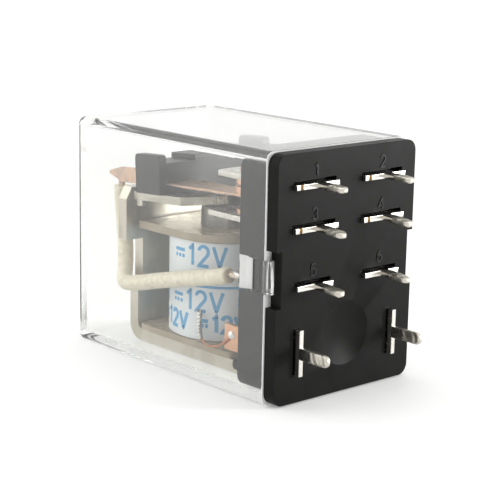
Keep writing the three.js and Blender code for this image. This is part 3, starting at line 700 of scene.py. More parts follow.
class Effects:
    """The effects that several finishes share, each a node group made once."""

    _made: Dict[str, bpy.types.NodeTree] = {}

    @classmethod
    def _start(
        cls, name: str, inputs: Dict[str, object], outputs: Sequence[str]
    ) -> Tuple[Sheet, bpy.types.Node, bpy.types.Node]:
        """Makes an empty group with its sockets.

        Args:
            name: Name of the group.
            inputs: Input names with their values, None for a vector.
            outputs: Names of the value outputs.

        Returns:
            The sheet, the input node and the output node.
        """
        tree = bpy.data.node_groups.new(name, "ShaderNodeTree")
        for key, value in inputs.items():
            kind = "NodeSocketVector" if value is None else "NodeSocketFloat"
            socket = tree.interface.new_socket(key, in_out="INPUT", socket_type=kind)
            if value is not None:
                socket.default_value = value
        for key in outputs:
            tree.interface.new_socket(key, in_out="OUTPUT", socket_type="NodeSocketFloat")
        cls._made[name] = tree
        sheet = Sheet(tree)
        return sheet, sheet.add("NodeGroupInput"), sheet.add("NodeGroupOutput")

    @classmethod
    def moulding_grain(cls) -> bpy.types.NodeTree:
        """Sparked mould texture: a slow tone, pale flecks of filler and a fine bumpy height."""
        if "moulding_grain" in cls._made:
            return cls._made["moulding_grain"]
        sheet, given, result = cls._start(
            "moulding_grain", {"Vector": None, "Grain": 9.0, "Flecks": 0.5},
            ("Tone", "Fleck", "Height")
        )
        vector = given.outputs["Vector"]
        slow = sheet.noise(vector, 0.33, 3.0)
        fine = sheet.noise(vector, given.outputs["Grain"], 4.0, 0.7)
        pits = sheet.cells(vector, sheet.math("MULTIPLY", given.outputs["Grain"], 0.9))
        spots = sheet.cells(vector, 3.1)
        few = sheet.remap(sheet.noise(vector, 2.3, 2.0), 0.52, 0.62)
        fleck = sheet.math("MULTIPLY", sheet.remap(spots, 0.03, 0.11, 1.0, 0.0), few)
        sheet.put(result.inputs["Tone"], sheet.weigh(fine, 0.35, slow, 0.65))
        sheet.put(result.inputs["Fleck"], sheet.math("MULTIPLY", fleck, given.outputs["Flecks"]))
        sheet.put(result.inputs["Height"], sheet.weigh(pits, 0.45, fine, 0.55))
        return cls._made["moulding_grain"]

    @classmethod
    def rolled_metal(cls) -> bpy.types.NodeTree:
        """Rolled or drawn metal: streaks along the stretched axis, dull patches, a fine height."""
        if "rolled_metal" in cls._made:
            return cls._made["rolled_metal"]
        sheet, given, result = cls._start(
            "rolled_metal", {"Vector": None, "Fineness": 6.0}, ("Tone", "Dull", "Height")
        )
        vector = given.outputs["Vector"]
        streak = sheet.noise(
            sheet.stretch(vector, (0.09, 1.0, 1.0)), given.outputs["Fineness"], 4.0, 0.6
        )
        patch = sheet.noise(vector, 0.45, 4.0, 0.6, 0.6)
        grit = sheet.noise(vector, sheet.math("MULTIPLY", given.outputs["Fineness"], 3.0), 2.0)
        sheet.put(result.inputs["Tone"], sheet.weigh(streak, 0.5, patch, 0.5))
        sheet.put(result.inputs["Dull"], sheet.remap(patch, 0.42, 0.68))
        sheet.put(result.inputs["Height"], sheet.weigh(streak, 0.7, grit, 0.3))
        return cls._made["rolled_metal"]

    @classmethod
    def handling(cls) -> bpy.types.NodeTree:
        """Marks of handling: soft smudges, sparse hairline scratches and a few dust grains."""
        if "handling" in cls._made:
            return cls._made["handling"]
        sheet, given, result = cls._start(
            "handling", {"Vector": None, "Amount": 1.0}, ("Smudge", "Scratch", "Dust")
        )
        vector = given.outputs["Vector"]
        smudge = sheet.remap(sheet.noise(vector, 0.16, 3.0, 0.5, 0.8), 0.45, 0.75)
        cross = sheet.cells(sheet.stretch(vector, (0.05, 0.9, 0.5)), 0.9, "DISTANCE_TO_EDGE")
        rare = sheet.remap(sheet.noise(vector, 0.4, 2.0), 0.55, 0.66)
        scratch = sheet.math("MULTIPLY", sheet.remap(cross, 0.0, 0.012, 1.0, 0.0), rare)
        dust = sheet.math(
            "MULTIPLY",
            sheet.remap(sheet.cells(vector, 1.3), 0.02, 0.07, 1.0, 0.0),
            sheet.remap(sheet.noise(vector, 0.8, 2.0), 0.6, 0.68),
        )
        for key, value in (("Smudge", smudge), ("Scratch", scratch), ("Dust", dust)):
            sheet.put(result.inputs[key], sheet.math("MULTIPLY", value, given.outputs["Amount"]))
        return cls._made["handling"]

    @classmethod
    def solder_skin(cls) -> bpy.types.NodeTree:
        """Dipped solder: a mask that starts along X with a wavy edge, and a lumpy height."""
        if "solder_skin" in cls._made:
            return cls._made["solder_skin"]
        sheet, given, result = cls._start(
            "solder_skin", {"Vector": None, "Start": 2.0}, ("Cover", "Height")
        )
        vector = given.outputs["Vector"]
        along = sheet.axes(vector)[0]
        ragged = sheet.math("MULTIPLY_ADD", sheet.noise(vector, 1.6, 2.0), 0.9, along)
        past = sheet.math("SUBTRACT", ragged, sheet.math("ADD", given.outputs["Start"], 0.45))
        sheet.put(result.inputs["Cover"], sheet.remap(past, -0.12, 0.12))
        lumps = sheet.noise(vector, 2.4, 3.0, 0.5, 0.4)
        fine = sheet.noise(vector, 9.0, 3.0, 0.6)
        sheet.put(result.inputs["Height"], sheet.weigh(lumps, 0.7, fine, 0.3))
        return cls._made["solder_skin"]


# ---- finishes ----------------------------------------------------------------


@dataclass(frozen=True)
class Finish:
    """What every finish has: its name, colour and how rough it is."""

    name: str
    base: Colour
    roughness: float
    metallic: float = 0.0

    def start(self) -> Tuple[bpy.types.Material, Sheet, bpy.types.Node, bpy.types.NodeSocket]:
        """Makes the material with its shader and coordinates in millimetres.

        Returns:
            The material, its sheet, its shader and the coordinates' socket.
        """
        material = bpy.data.materials.new(self.name)
        material.use_nodes = True
        material.node_tree.nodes.clear()
        sheet = Sheet(material.node_tree)
        shader = sheet.add("ShaderNodeBsdfPrincipled")
        output = sheet.add("ShaderNodeOutputMaterial")
        sheet.put(output.inputs["Surface"], shader.outputs[0])
        shader.inputs["Base Color"].default_value = (*self.base, 1.0)
        shader.inputs["Roughness"].default_value = self.roughness
        shader.inputs["Metallic"].default_value = self.metallic
        place = sheet.add("ShaderNodeTexCoord").outputs["Object"]
        scaled = sheet.add("ShaderNodeVectorMath", operation="SCALE")
        sheet.put(scaled.inputs[0], place)
        scaled.inputs["Scale"].default_value = 1 / MM
        return material, sheet, shader, scaled.outputs[0]

    @staticmethod
    def bump(
        sheet: Sheet, shader: bpy.types.Node, height: object, depth: float, strength: float = 1.0
    ) -> None:
        """Feeds a height into the shader's normal through a Bump node.

        Args:
            sheet: The material's sheet.
            shader: Its shader.
            height: The height's socket.
            depth: Depth of the relief in millimetres.
            strength: Strength of the bump.
        """
        node = sheet.add("ShaderNodeBump")
        node.inputs["Strength"].default_value = strength
        node.inputs["Distance"].default_value = depth * MM
        sheet.put(node.inputs["Height"], height)
        sheet.put(shader.inputs["Normal"], node.outputs[0])

    def build(self) -> bpy.types.Material:
        """Makes the material."""
        return self.start()[0]


@dataclass(frozen=True)
class Moulded(Finish):
    """Moulded plastic with sparked grain and flecks of filler."""

    light: Colour = (0.03, 0.03, 0.028)
    fleck: Colour = (0.16, 0.16, 0.15)
    grain: float = 9.0
    flecks: float = 0.6
    relief: float = 0.012
    shine: float = 0.5

    def build(self) -> bpy.types.Material:
        """Makes the material."""
        material, sheet, shader, place = self.start()
        group = sheet.group(
            Effects.moulding_grain(), Vector=place, Grain=self.grain, Flecks=self.flecks
        )
        marks = sheet.group(Effects.handling(), Vector=place, Amount=0.5)
        tone = sheet.remap(group.outputs["Tone"], 0.3, 0.7)
        colour = sheet.blend(tone, self.base, self.light)
        colour = sheet.blend(group.outputs["Fleck"], colour, self.fleck)
        colour = sheet.blend(sheet.math("MULTIPLY", marks.outputs["Dust"], 0.7), colour, self.fleck)
        sheet.put(shader.inputs["Base Color"], colour)
        rough = sheet.math("MULTIPLY_ADD", tone, 0.12, self.roughness - 0.06)
        sheet.put(
            shader.inputs["Roughness"],
            sheet.math("MULTIPLY_ADD", marks.outputs["Smudge"], -0.05, rough)
        )
        shader.inputs["Specular IOR Level"].default_value = self.shine
        self.bump(sheet, shader, group.outputs["Height"], self.relief)
        return material


@dataclass(frozen=True)
class Metal(Finish):
    """Plated or bare metal with rolling streaks and dull patches."""

    metallic: float = 1.0
    dull: Colour = (0.4, 0.38, 0.33)
    turn: Tuple[float, float, float] = (1.0, 1.0, 1.0)
    fineness: float = 6.0
    relief: float = 0.006

    def dressed(self) -> Tuple[
        bpy.types.Material, Sheet, bpy.types.Node, bpy.types.NodeSocket, object, object, object
    ]:
        """Makes the material and keeps its colour, roughness and height for more work.

        Returns:
            Material, sheet, shader, coordinates, colour, roughness and height.
        """
        material, sheet, shader, place = self.start()
        group = sheet.group(
            Effects.rolled_metal(), Vector=sheet.stretch(place, self.turn), Fineness=self.fineness
        )
        tone = sheet.remap(group.outputs["Tone"], 0.32, 0.68)
        dulled = sheet.math("MULTIPLY", group.outputs["Dull"], 0.7)
        colour = sheet.blend(sheet.math("MULTIPLY", tone, 0.5), self.base, self.dull)
        colour = sheet.blend(dulled, colour, self.dull)
        rough = sheet.math("MULTIPLY_ADD", dulled, 0.16, self.roughness)
        rough = sheet.math("MULTIPLY_ADD", tone, 0.08, rough)
        return material, sheet, shader, place, colour, rough, group.outputs["Height"]

    def build(self) -> bpy.types.Material:
        """Makes the material."""
        material, sheet, shader, _, colour, rough, height = self.dressed()
        sheet.put(shader.inputs["Base Color"], colour)
        sheet.put(shader.inputs["Roughness"], rough)
        self.bump(sheet, shader, height, self.relief)
        return material


@dataclass(frozen=True)
class TinnedBlade(Metal):
    """Tin plated blade: bright plate, dipped solder past a point, bare where it was stamped."""

    solder: Colour = (0.6, 0.57, 0.5)
    bare: Colour = (0.15, 0.085, 0.03)
    solder_from: float = 2.0
    bare_y: Tuple[float, ...] = ()
    proud: float = 0.55
    copper: Colour = (0.72, 0.4, 0.24)
    copper_before: float = -99.0

    def build(self) -> bpy.types.Material:
        """Makes the material."""
        material, sheet, shader, place, colour, rough, height = self.dressed()
        skin = sheet.group(Effects.solder_skin(), Vector=place, Start=self.solder_from)
        cover = skin.outputs["Cover"]
        along, across, _ = sheet.axes(place)
        if self.copper_before > -99.0:
            inner = sheet.remap(
                along, self.copper_before - 0.15, self.copper_before + 0.15, 1.0, 0.0
            )
            colour = sheet.blend(inner, colour, self.copper)
        if self.bare_y:
            front = sheet.remap(along, self.proud - 0.06, self.proud - 0.02)
            window: object = 0.0
            for centre in self.bare_y:
                away = sheet.math("ABSOLUTE", sheet.math("SUBTRACT", across, centre))
                window = sheet.math("MAXIMUM", window, sheet.remap(away, 0.17, 0.25, 1.0, 0.0))
            root = sheet.remap(along, self.proud + 0.05, self.proud + 0.1, 1.0, 0.0)
            strip = sheet.math("MULTIPLY", sheet.math("MULTIPLY", window, front), root)
            colour = sheet.blend(strip, colour, self.bare)
            rough = sheet.math("MULTIPLY_ADD", strip, 0.2, rough)
        colour = sheet.blend(cover, colour, self.solder)
        rough = sheet.math("MULTIPLY_ADD", cover, 0.14, rough)
        sheet.put(shader.inputs["Base Color"], colour)
        sheet.put(shader.inputs["Roughness"], rough)
        both = sheet.math(
            "MULTIPLY_ADD", sheet.math("MULTIPLY", cover, skin.outputs["Height"]), 16.0, height
        )
        self.bump(sheet, shader, both, self.relief)
        return material


@dataclass(frozen=True)
class ClearPlastic(Finish):
    """Polished clear plastic: a weakly bending body under a glossy skin, for light edges."""

    ior: float = 1.27
    gloss_ior: float = 1.5
    gloss: float = 0.22
    clarity: float = 0.955

    def build(self) -> bpy.types.Material:
        """Makes the material."""
        material, sheet, shader, place = self.start()
        marks = sheet.group(Effects.handling(), Vector=place, Amount=1.0)
        shader.inputs["Transmission Weight"].default_value = self.clarity
        shader.inputs["IOR"].default_value = self.ior
        shader.inputs["Coat Weight"].default_value = self.gloss
        shader.inputs["Coat IOR"].default_value = self.gloss_ior
        shader.inputs["Coat Roughness"].default_value = self.roughness
        rough = sheet.math("MULTIPLY_ADD", marks.outputs["Smudge"], 0.02, self.roughness)
        sheet.put(
            shader.inputs["Roughness"],
            sheet.math("MULTIPLY_ADD", marks.outputs["Scratch"], 0.15, rough)
        )
        path = sheet.add("ShaderNodeLightPath")
        through = sheet.add("ShaderNodeBsdfTransparent")
        through.inputs["Color"].default_value = (0.93, 0.94, 0.93, 1.0)
        mix = sheet.add("ShaderNodeMixShader")
        sheet.put(mix.inputs[0], path.outputs["Is Shadow Ray"])
        sheet.put(mix.inputs[1], shader.outputs[0])
        sheet.put(mix.inputs[2], through.outputs[0])
        output = next(n for n in material.node_tree.nodes if n.type == "OUTPUT_MATERIAL")
        sheet.put(output.inputs["Surface"], mix.outputs[0])
        return material


@dataclass(frozen=True)
class Tape(Finish):
    """Smooth tape or ink with faint fibres and handling marks."""

    shade: Colour = (0.7, 0.71, 0.72)

    def build(self) -> bpy.types.Material:
        """Makes the material."""
        material, sheet, shader, place = self.start()
        fibre = sheet.noise(sheet.stretch(place, (1.0, 1.0, 0.15)), 7.0, 3.0)
        marks = sheet.group(Effects.handling(), Vector=place, Amount=0.6)
        colour = sheet.blend(sheet.remap(fibre, 0.35, 0.75, 0.0, 0.35), self.base, self.shade)
        sheet.put(
            shader.inputs["Base Color"], sheet.blend(marks.outputs["Smudge"], colour, self.shade)
        )
        sheet.put(
            shader.inputs["Roughness"], sheet.math("MULTIPLY_ADD", fibre, 0.15, self.roughness)
        )
        self.bump(sheet, shader, fibre, 0.004)
        return material


@dataclass(frozen=True)
class Sleeve(Finish):
    """Insulation of a lead wire: slightly ribbed by the strands inside and marked by handling."""

    shade: Colour = (0.62, 0.54, 0.4)
    ribs: float = 7.0
    lay: float = 0.12
    scorched: Colour = (0.5, 0.38, 0.24)
    scorched_from: float = -9.85

    def build(self) -> bpy.types.Material:
        """Makes the material, with ribs as a sine of the turns around plus lay times length."""
        material, sheet, shader, place = self.start()
        route = sheet.add("ShaderNodeUVMap", uv_map="route").outputs[0]
        around, along, _ = sheet.axes(route)
        turn = sheet.math("MULTIPLY_ADD", along, self.lay, around)
        rib = sheet.math("SINE", sheet.math("MULTIPLY", turn, 2 * math.pi * self.ribs))
        marks = sheet.group(Effects.handling(), Vector=place, Amount=0.8)
        soft = sheet.noise(place, 1.6, 4.0)
        colour = sheet.blend(sheet.remap(soft, 0.35, 0.75, 0.0, 0.6), self.base, self.shade)
        colour = sheet.blend(
            sheet.math("MULTIPLY", marks.outputs["Smudge"], 0.4), colour, self.shade
        )
        end = sheet.remap(
            sheet.axes(place)[0], self.scorched_from, self.scorched_from + 0.3, 0.0, 0.8
        )
        colour = sheet.blend(end, colour, self.scorched)
        sheet.put(shader.inputs["Base Color"], colour)
        sheet.put(shader.inputs["Roughness"], sheet.math("MULTIPLY_ADD", soft, 0.2, self.roughness))
        height = sheet.weigh(rib, 0.08, soft, 0.8)
        self.bump(sheet, shader, height, 0.012)
        return material


class Palette:
    """Every finish of the relay, each made into a material once."""

    finishes: Dict[str, Finish] = {
        f.name: f
        for f in (
            Moulded(
                "charcoal_moulding", (0.0042, 0.0046, 0.004), 0.42, light=(0.0085, 0.009, 0.0078),
                fleck=(0.1, 0.1, 0.09), grain=15.0, relief=0.005, shine=0.085,
            ),
            Moulded(
                "carrier_moulding", (0.009, 0.009, 0.0085), 0.4, light=(0.014, 0.014, 0.013),
                flecks=0.2, grain=15.0, relief=0.004, shine=0.3,
            ),
            Moulded(
                "bobbin_moulding", (0.33, 0.265, 0.18), 0.26, light=(0.4, 0.33, 0.235),
                fleck=(0.5, 0.45, 0.36), flecks=0.25, relief=0.004,
            ),
            Moulded(
                "figure_moulding", (0.007, 0.0072, 0.0066), 0.36, light=(0.012, 0.0125, 0.011),
                flecks=0.2, shine=0.2,
            ),
            ClearPlastic("clear_cover", (0.97, 0.975, 0.965), 0.02),
            Metal(
                "nickel_plate", (0.6, 0.57, 0.5), 0.24, dull=(0.4, 0.37, 0.3), turn=(0.3, 1.0, 1.0)
            ),
            Metal(
                "yoke_plate", (0.58, 0.54, 0.46), 0.28, dull=(0.45, 0.41, 0.33),
                turn=(1.0, 1.0, 0.5), fineness=9.0, relief=0.003
            ),
            Metal("core_iron", (0.42, 0.4, 0.36), 0.38, dull=(0.24, 0.22, 0.19)),
            Metal("spring_wire", (0.7, 0.69, 0.66), 0.2, dull=(0.5, 0.49, 0.46), fineness=9.0),
            Metal("copper_strip", (0.66, 0.44, 0.31), 0.26, dull=(0.36, 0.28, 0.23)),
            Metal("contact_alloy", (0.86, 0.55, 0.4), 0.26, dull=(0.6, 0.38, 0.27), fineness=9.0),
            Metal("bare_copper", (0.8, 0.47, 0.3), 0.22, dull=(0.55, 0.3, 0.18), fineness=9.0),
            Metal(
                "enamelled_copper", (0.62, 0.26, 0.12), 0.2, dull=(0.42, 0.16, 0.08), fineness=9.0
            ),
            Metal("tinned_strand", (0.72, 0.62, 0.5), 0.3, dull=(0.5, 0.38, 0.28), fineness=9.0),
            Metal(
                "solder", (0.82, 0.81, 0.78), 0.3, dull=(0.6, 0.59, 0.57), fineness=4.0, relief=0.02
            ),
            Metal("copper_lug", (0.74, 0.42, 0.25), 0.28, dull=(0.48, 0.27, 0.16)),
            # Painted highlight: opaque white for the bright mouth end and latch ramps of the clear
            # cover.
            Tape("painted_highlight_face", (0.93, 0.93, 0.92), 0.55, shade=(0.85, 0.85, 0.84)),
            Tape("label_paper", (0.84, 0.88, 0.9), 0.5, shade=(0.76, 0.81, 0.84)),
            Tape("label_ink", (0.05, 0.34, 0.66), 0.5, shade=(0.1, 0.42, 0.72)),
            Sleeve("cream_sleeve", (0.92, 0.86, 0.68), 0.45),
        )
    }
    _made: Dict[str, bpy.types.Material] = {}

    @classmethod
    def get(cls, name: str) -> bpy.types.Material:
        """The material of a finish, made when it is first wanted."""
        if name not in cls._made:
            cls._made[name] = cls.finishes[name].build()
        return cls._made[name]

    @classmethod
    def own(cls, finish: Finish) -> bpy.types.Material:
        """The material of a finish that only one piece has."""
        if finish.name not in cls._made:
            cls._made[finish.name] = finish.build()
        return cls._made[finish.name]


def dress(piece: bpy.types.Object, material: bpy.types.Material) -> bpy.types.Object:
    """Gives a piece one material in place of any it has."""
    piece.data.materials.clear()
    piece.data.materials.append(material)
    return piece


def fit_piece(
    piece: bpy.types.Object, body: str, slot: str, material: bpy.types.Material, *nodes: str
) -> bpy.types.Object:
    """Dresses a piece, lets it ride on its body, and has it stand for CAD nodes.

    Args:
        piece: The piece.
        body: Body that it rides on.
        slot: Not used.
        material: Its material.
        nodes: CAD nodes that it replaces.

    Returns:
        The piece.
    """
    dress(piece, material)
    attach(piece, body)
    if nodes:
        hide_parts(*nodes)
    LOG.info("piece %s on %s for %s", piece.name, body, ", ".join(nodes) or "nothing")
    return piece


def softened(
    node: str, name: str, edge: float, angle_deg: float = 38.0, steps: int = 2,
    sharp_deg: Optional[float] = None
) -> bpy.types.Object:
    """A copy of a CAD node with softened edges.

    Loose triangles are merged, flat areas become single faces, and a Bevel
    modifier rounds each edge that turns more than the angle.

    Args:
        node: The CAD node.
        name: Name of the new piece.
        edge: Width of the softened edge in millimetres, 0 for none.
        angle_deg: Edges that turn more than this are softened.
        steps: Steps across each edge.
        sharp_deg: Edges that turn more than this keep a hard shade, the same angle when left out.

    Returns:
        The new piece.
    """
    shape = bmesh.new()
    shape.from_mesh(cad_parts[node].data)
    bmesh.ops.remove_doubles(shape, verts=shape.verts, dist=0.002 * MM)
    bmesh.ops.dissolve_limit(
        shape, angle_limit=math.radians(0.8), verts=shape.verts, edges=shape.edges
    )
    mesh = bpy.data.meshes.new(name)
    shape.to_mesh(mesh)
    shape.free()
    mesh.polygons.foreach_set("use_smooth", np.ones(len(mesh.polygons), dtype=bool))
    mesh.set_sharp_from_angle(angle=math.radians(angle_deg if sharp_deg is None else sharp_deg))
    piece = bpy.data.objects.new(name, mesh)
    bpy.context.scene.collection.objects.link(piece)
    if edge > 0:
        bevel = piece.modifiers.new("soft_edge", "BEVEL")
        bevel.width = edge * MM
        bevel.segments = steps
        bevel.limit_method = "ANGLE"
        bevel.angle_limit = math.radians(angle_deg)
        bevel.use_clamp_overlap = True
        bevel.harden_normals = True
        bevel.miter_outer = "MITER_SHARP"
    return piece


def low_high(node: str) -> Tuple[Array, Array]:
    """Lowest and highest corners of a CAD node in millimetres."""
    low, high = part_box(node)
    return np.array(low) / MM, np.array(high) / MM


# ---- sub-assemblies ------------------------------------------------------------


@dataclass
class Housing:
    """Black base with its moulded figures, and the clear cover."""

    wall: float = 1.0
    mouth: float = -1.65
    # Length of the white band at the mouth, a painted highlight.
    painted_band_long: float = 0.14
    outer_radius: float = 0.9
    inner_radius: float = 0.5
    window_long: float = 1.1
    window_from_mouth: float = 1.6
    ramp_long: float = 1.5
    strap_reach: float = 0.6
    latch_z: float = 0.4
    latch_half: float = 1.85
    figure_height: float = 1.3
    figure_weight: float = 0.17
    figure_deep: float = 0.09
    figures: Dict[str, Tuple[float, float]] = field(
        default_factory=lambda: {
            "1": (-5.05, 11.2),
            "2": (5.22, 11.15),
            "3": (-5.12, 6.42),
            "4": (5.2, 6.4),
            "5": (-5.15, 0.2),
            "6": (5.2, 0.33),
        }
    )

    def build(self) -> None:
        """Makes the base, its figures and the cover."""
        base = softened("base", "base_moulding", 0.09, sharp_deg=14.0)
        fit_piece(base, HOUSING, "base_plastic", Palette.get("charcoal_moulding"), "base")
        self.make_figures()
        self.make_cover()

    def make_figures(self) -> None:
        """Terminal numbers, raised a little over the seating face and drawn upright in Y and Z."""
        shells: List[Tuple[Array, List[Array]]] = []
        for sign, (y, z) in self.figures.items():
            left = y - Figures.width(sign, self.figure_height) / 2
            place = lambda u, v, l, left=left, z=z: np.stack([l - 0.02, left + u, z + v], axis=-1)
            shells += Figures.shells(
                sign, self.figure_height, self.figure_weight, self.figure_deep + 0.02, place
            )
        points, faces = join_shells(shells)
        piece = make_piece("terminal_figures", points, faces)
        fit_piece(piece, HOUSING, "base_plastic", Palette.get("figure_moulding"))

    def shell(self) -> Tuple[Array, List[Array]]:
        """Skin of the cover without its latches.

        Rings run from the middle of the outer end, round its edge by cosine and
        sine of an angle, along the sides to the mouth, back along the inside,
        and round the inner edge to the middle of the inner end. Each ring is a
        rounded rectangle whose sides are the body's less twice the inset.

        Returns:
            The points and faces.
        """
        low, high = low_high("cover")
        half_y, half_z, rear, mouth = high[1], high[2], low[0], self.mouth - self.painted_band_long - 0.004
        quarter = np.radians(np.linspace(0, 90, 9))
        r, q = self.outer_radius, self.inner_radius
        steps = [(rear, r + 0.05, 0.05)]
        steps += [(rear + r * (1 - math.cos(a)), r * (1 - math.sin(a)), None) for a in quarter]
        steps += [(rear + r + 0.05, 0.0, None), (mouth - 0.1, 0.0, None), (mouth - 0.06, 0.0, None)]
        steps += [
            (mouth, 0.06, None), (mouth, self.wall - 0.05, None), (mouth - 0.05, self.wall, None)
        ]
        inside = rear + self.wall
        steps += [(mouth - 0.1, self.wall, None), (inside + q + 0.05, self.wall, None)]
        steps += [
            (
                inside + q * (1 - math.sin(a)), self.wall + q * (1 - math.cos(a)), None
            ) for a in quarter
        ]
        steps += [(inside, self.wall + q + 0.05, None)]
        rings = []
        for x, deep, _ in steps:
            corner = max(r - deep, 0.06) if deep < self.wall - 0.06 else max(
                q + self.wall - deep, 0.06
            )
            flat = rounded_rectangle(half_y - deep, half_z - deep, corner)
            rings.append(np.column_stack([np.full(len(flat), x), flat]))
        return loft(np.stack(rings))

    def latch_cutters(self, side: Side) -> List[Tuple[Array, List[Array]]]:
        """Solids that cut a latch window and the ramp behind it.

        Args:
            side: Side wall of the cover.

        Returns:
            A box through the wall, and a wedge that deepens toward it.
        """
        s = side.value
        half_y = low_high("cover")[1][1]
        front = self.mouth - self.window_from_mouth
        rear = front - self.window_long
        low, high = self.latch_z - self.latch_half, self.latch_z + self.latch_half
        flat = rounded_rectangle(self.window_long / 2, self.latch_half, 0.12, 4)
        outer, inner = s * (half_y + 0.5), s * (half_y - self.wall - 0.4)
        window = np.stack(
            [
                np.column_stack(
                    [
                        flat[:, 0] + (front + rear) / 2, np.full(len(flat), y),
                        flat[:, 1] + self.latch_z
                    ]
                )
                for y in (inner, outer)
            ]
        )
        wedge = np.array(
            [
                (rear - self.ramp_long, s * (half_y + 0.02)),
                (rear + 0.15, s * (half_y + 0.02)),
                (rear + 0.15, s * (half_y - self.wall + 0.2)),
            ]
        )
        ramp = np.stack([np.column_stack([wedge, np.full(3, z)]) for z in (low - 0.1, high + 0.1)])
        return [loft(window), loft(ramp)]

    def strap(self, side: Side) -> Tuple[Array, List[Array]]:
        """Tongue of the cover that reaches over the notch of the base.

        The outline in X and Y is a band across the wall, whose outer side draws in
        over the last 0.35 by 0.12 times the square of the share.

        Args:
            side: Side wall of the cover.

        Returns:
            The points and faces.
        """
        s = side.value
        half_y = low_high("cover")[1][1]
        front = self.mouth + self.strap_reach
        x = np.linspace(-2.0, front, 60)
        outer = half_y - 0.02 - 0.12 * np.clip((x - front + 0.35) / 0.35, 0, 1) ** 2
        inner = np.full(len(x), half_y - self.wall + 0.15)
        outline = np.column_stack(
            [np.concatenate([x, x[::-1]]), np.concatenate([inner, outer[::-1]])]
        )
        half = self.latch_half
        levels = np.array([-half, -half + 0.08, half - 0.08, half])
        moves = np.array([0.06, 0.0, 0.0, 0.06])
        rings = []
        for level, move in zip(levels, moves):
            flat = inset(outline, move)
            rings.append(
                np.column_stack(
                    [flat[:, 0], s * flat[:, 1], np.full(len(flat), level + self.latch_z)]
                )
            )
        return loft(np.stack(rings))

    def make_cover(self) -> None:
        """Clear cover: the shell joined with its straps and cut by its latch windows."""
        points, faces = self.shell()
        piece = make_piece("cover_shell", points, faces, 20.0)
        for side in Side:
            window, ramp = self.latch_cutters(side)
            self.combine(piece, make_piece("ramp_cutter", *ramp), "DIFFERENCE")
            self.combine(piece, make_piece("window_cutter", *window), "DIFFERENCE")
            self.combine(piece, make_piece("strap_body", *self.strap(side)), "UNION")
        piece.data.polygons.foreach_set("use_smooth", np.ones(len(piece.data.polygons), dtype=bool))
        piece.data.set_sharp_from_angle(angle=math.radians(20))
        fit_piece(piece, HOUSING, "clear_plastic", Palette.get("clear_cover"), "cover")
        self.make_painted_highlight_faces()

    def make_painted_highlight_faces(self) -> None:
        """Matt white end of the mouth and matt white latch ramps: opaque, a painted highlight for
        the bright light seen at the clear wall's end and on its ramps.

        The end is a rounded frame of the wall's thickness, cut where the straps
        pass. A ramp is a thin slip that follows the wedge's slope.
        """
        high = low_high("cover")[1]
        rings = []
        for x, deep in (
            (self.mouth - self.painted_band_long, 0.03), (self.mouth, 0.03), (self.mouth, 0.97),
            (self.mouth - self.painted_band_long, 0.97)
        ):
            corner = max(self.outer_radius - deep, 0.3)
            flat = rounded_rectangle(high[1] - deep, high[2] - deep, corner)
            rings.append(np.column_stack([np.full(len(flat), x), flat]))
        count = len(rings[0])
        points = np.concatenate(rings)
        closing = ring_faces(4, count)
        start, last = np.arange(count), 3 * count + np.arange(count)
        bore = np.column_stack([start, last, np.roll(last, -1), np.roll(start, -1)])
        # Painted highlight: an opaque white band at the mouth end of the clear wall.
        frame_piece = make_piece("mouth_end", points, [closing, bore], 25.0)
        for side in Side:
            s = side.value
            near, far = sorted((s * (high[1] + 0.2), s * (high[1] - self.wall - 0.2)))
            half = self.latch_half + 0.03
            flat = np.array([(near, -half), (far, -half), (far, half), (near, half)])
            box = np.stack(
                [
                    np.column_stack(
                        [np.full(4, x), flat[:, 0], flat[:, 1] + self.latch_z]
                    ) for x in (self.mouth - 1, self.mouth + 1)
                ]
            )
            self.combine(frame_piece, make_piece("strap_gap", *loft(box)), "DIFFERENCE")
        fit_piece(frame_piece, HOUSING, "clear_plastic", Palette.get("painted_highlight_face"))
        slips = []
        for side in Side:
            s = side.value
            rear = self.mouth - self.window_from_mouth - self.window_long
            slope = (self.wall - 0.2) / (self.ramp_long + 0.15)
            x = np.array([rear - self.ramp_long + 0.12, rear - 0.03])
            y = high[1] - slope * (x - (rear - self.ramp_long)) + 0.01
            section = np.column_stack(
                [np.concatenate([x, x[::-1]]), s * np.concatenate([y, y[::-1] - 0.05])]
            )
            levels = (self.latch_z - self.latch_half, self.latch_z + self.latch_half)
            slips.append(
                loft(np.stack([np.column_stack([section, np.full(4, z)]) for z in levels]))
            )
        # Painted highlight: opaque white slips on the latch ramps.
        piece = make_piece("latch_ramps", *join_shells(slips))
        fit_piece(piece, HOUSING, "clear_plastic", Palette.get("painted_highlight_face"))

    @staticmethod
    def combine(piece: bpy.types.Object, tool: bpy.types.Object, operation: str) -> None:
        """Applies one exact boolean to a piece and removes the tool.

        Args:
            piece: The piece to change.
            tool: The solid to join or take away.
            operation: UNION or DIFFERENCE.
        """
        step = piece.modifiers.new("cut", "BOOLEAN")
        step.object, step.operation, step.solver = tool, operation, "EXACT"
        graph = bpy.context.evaluated_depsgraph_get()
        result = bpy.data.meshes.new_from_object(piece.evaluated_get(graph))
        piece.modifiers.clear()
        old = piece.data
        piece.data = result
        bpy.data.meshes.remove(old)
        used = tool.data
        bpy.data.objects.remove(tool)
        bpy.data.meshes.remove(used)


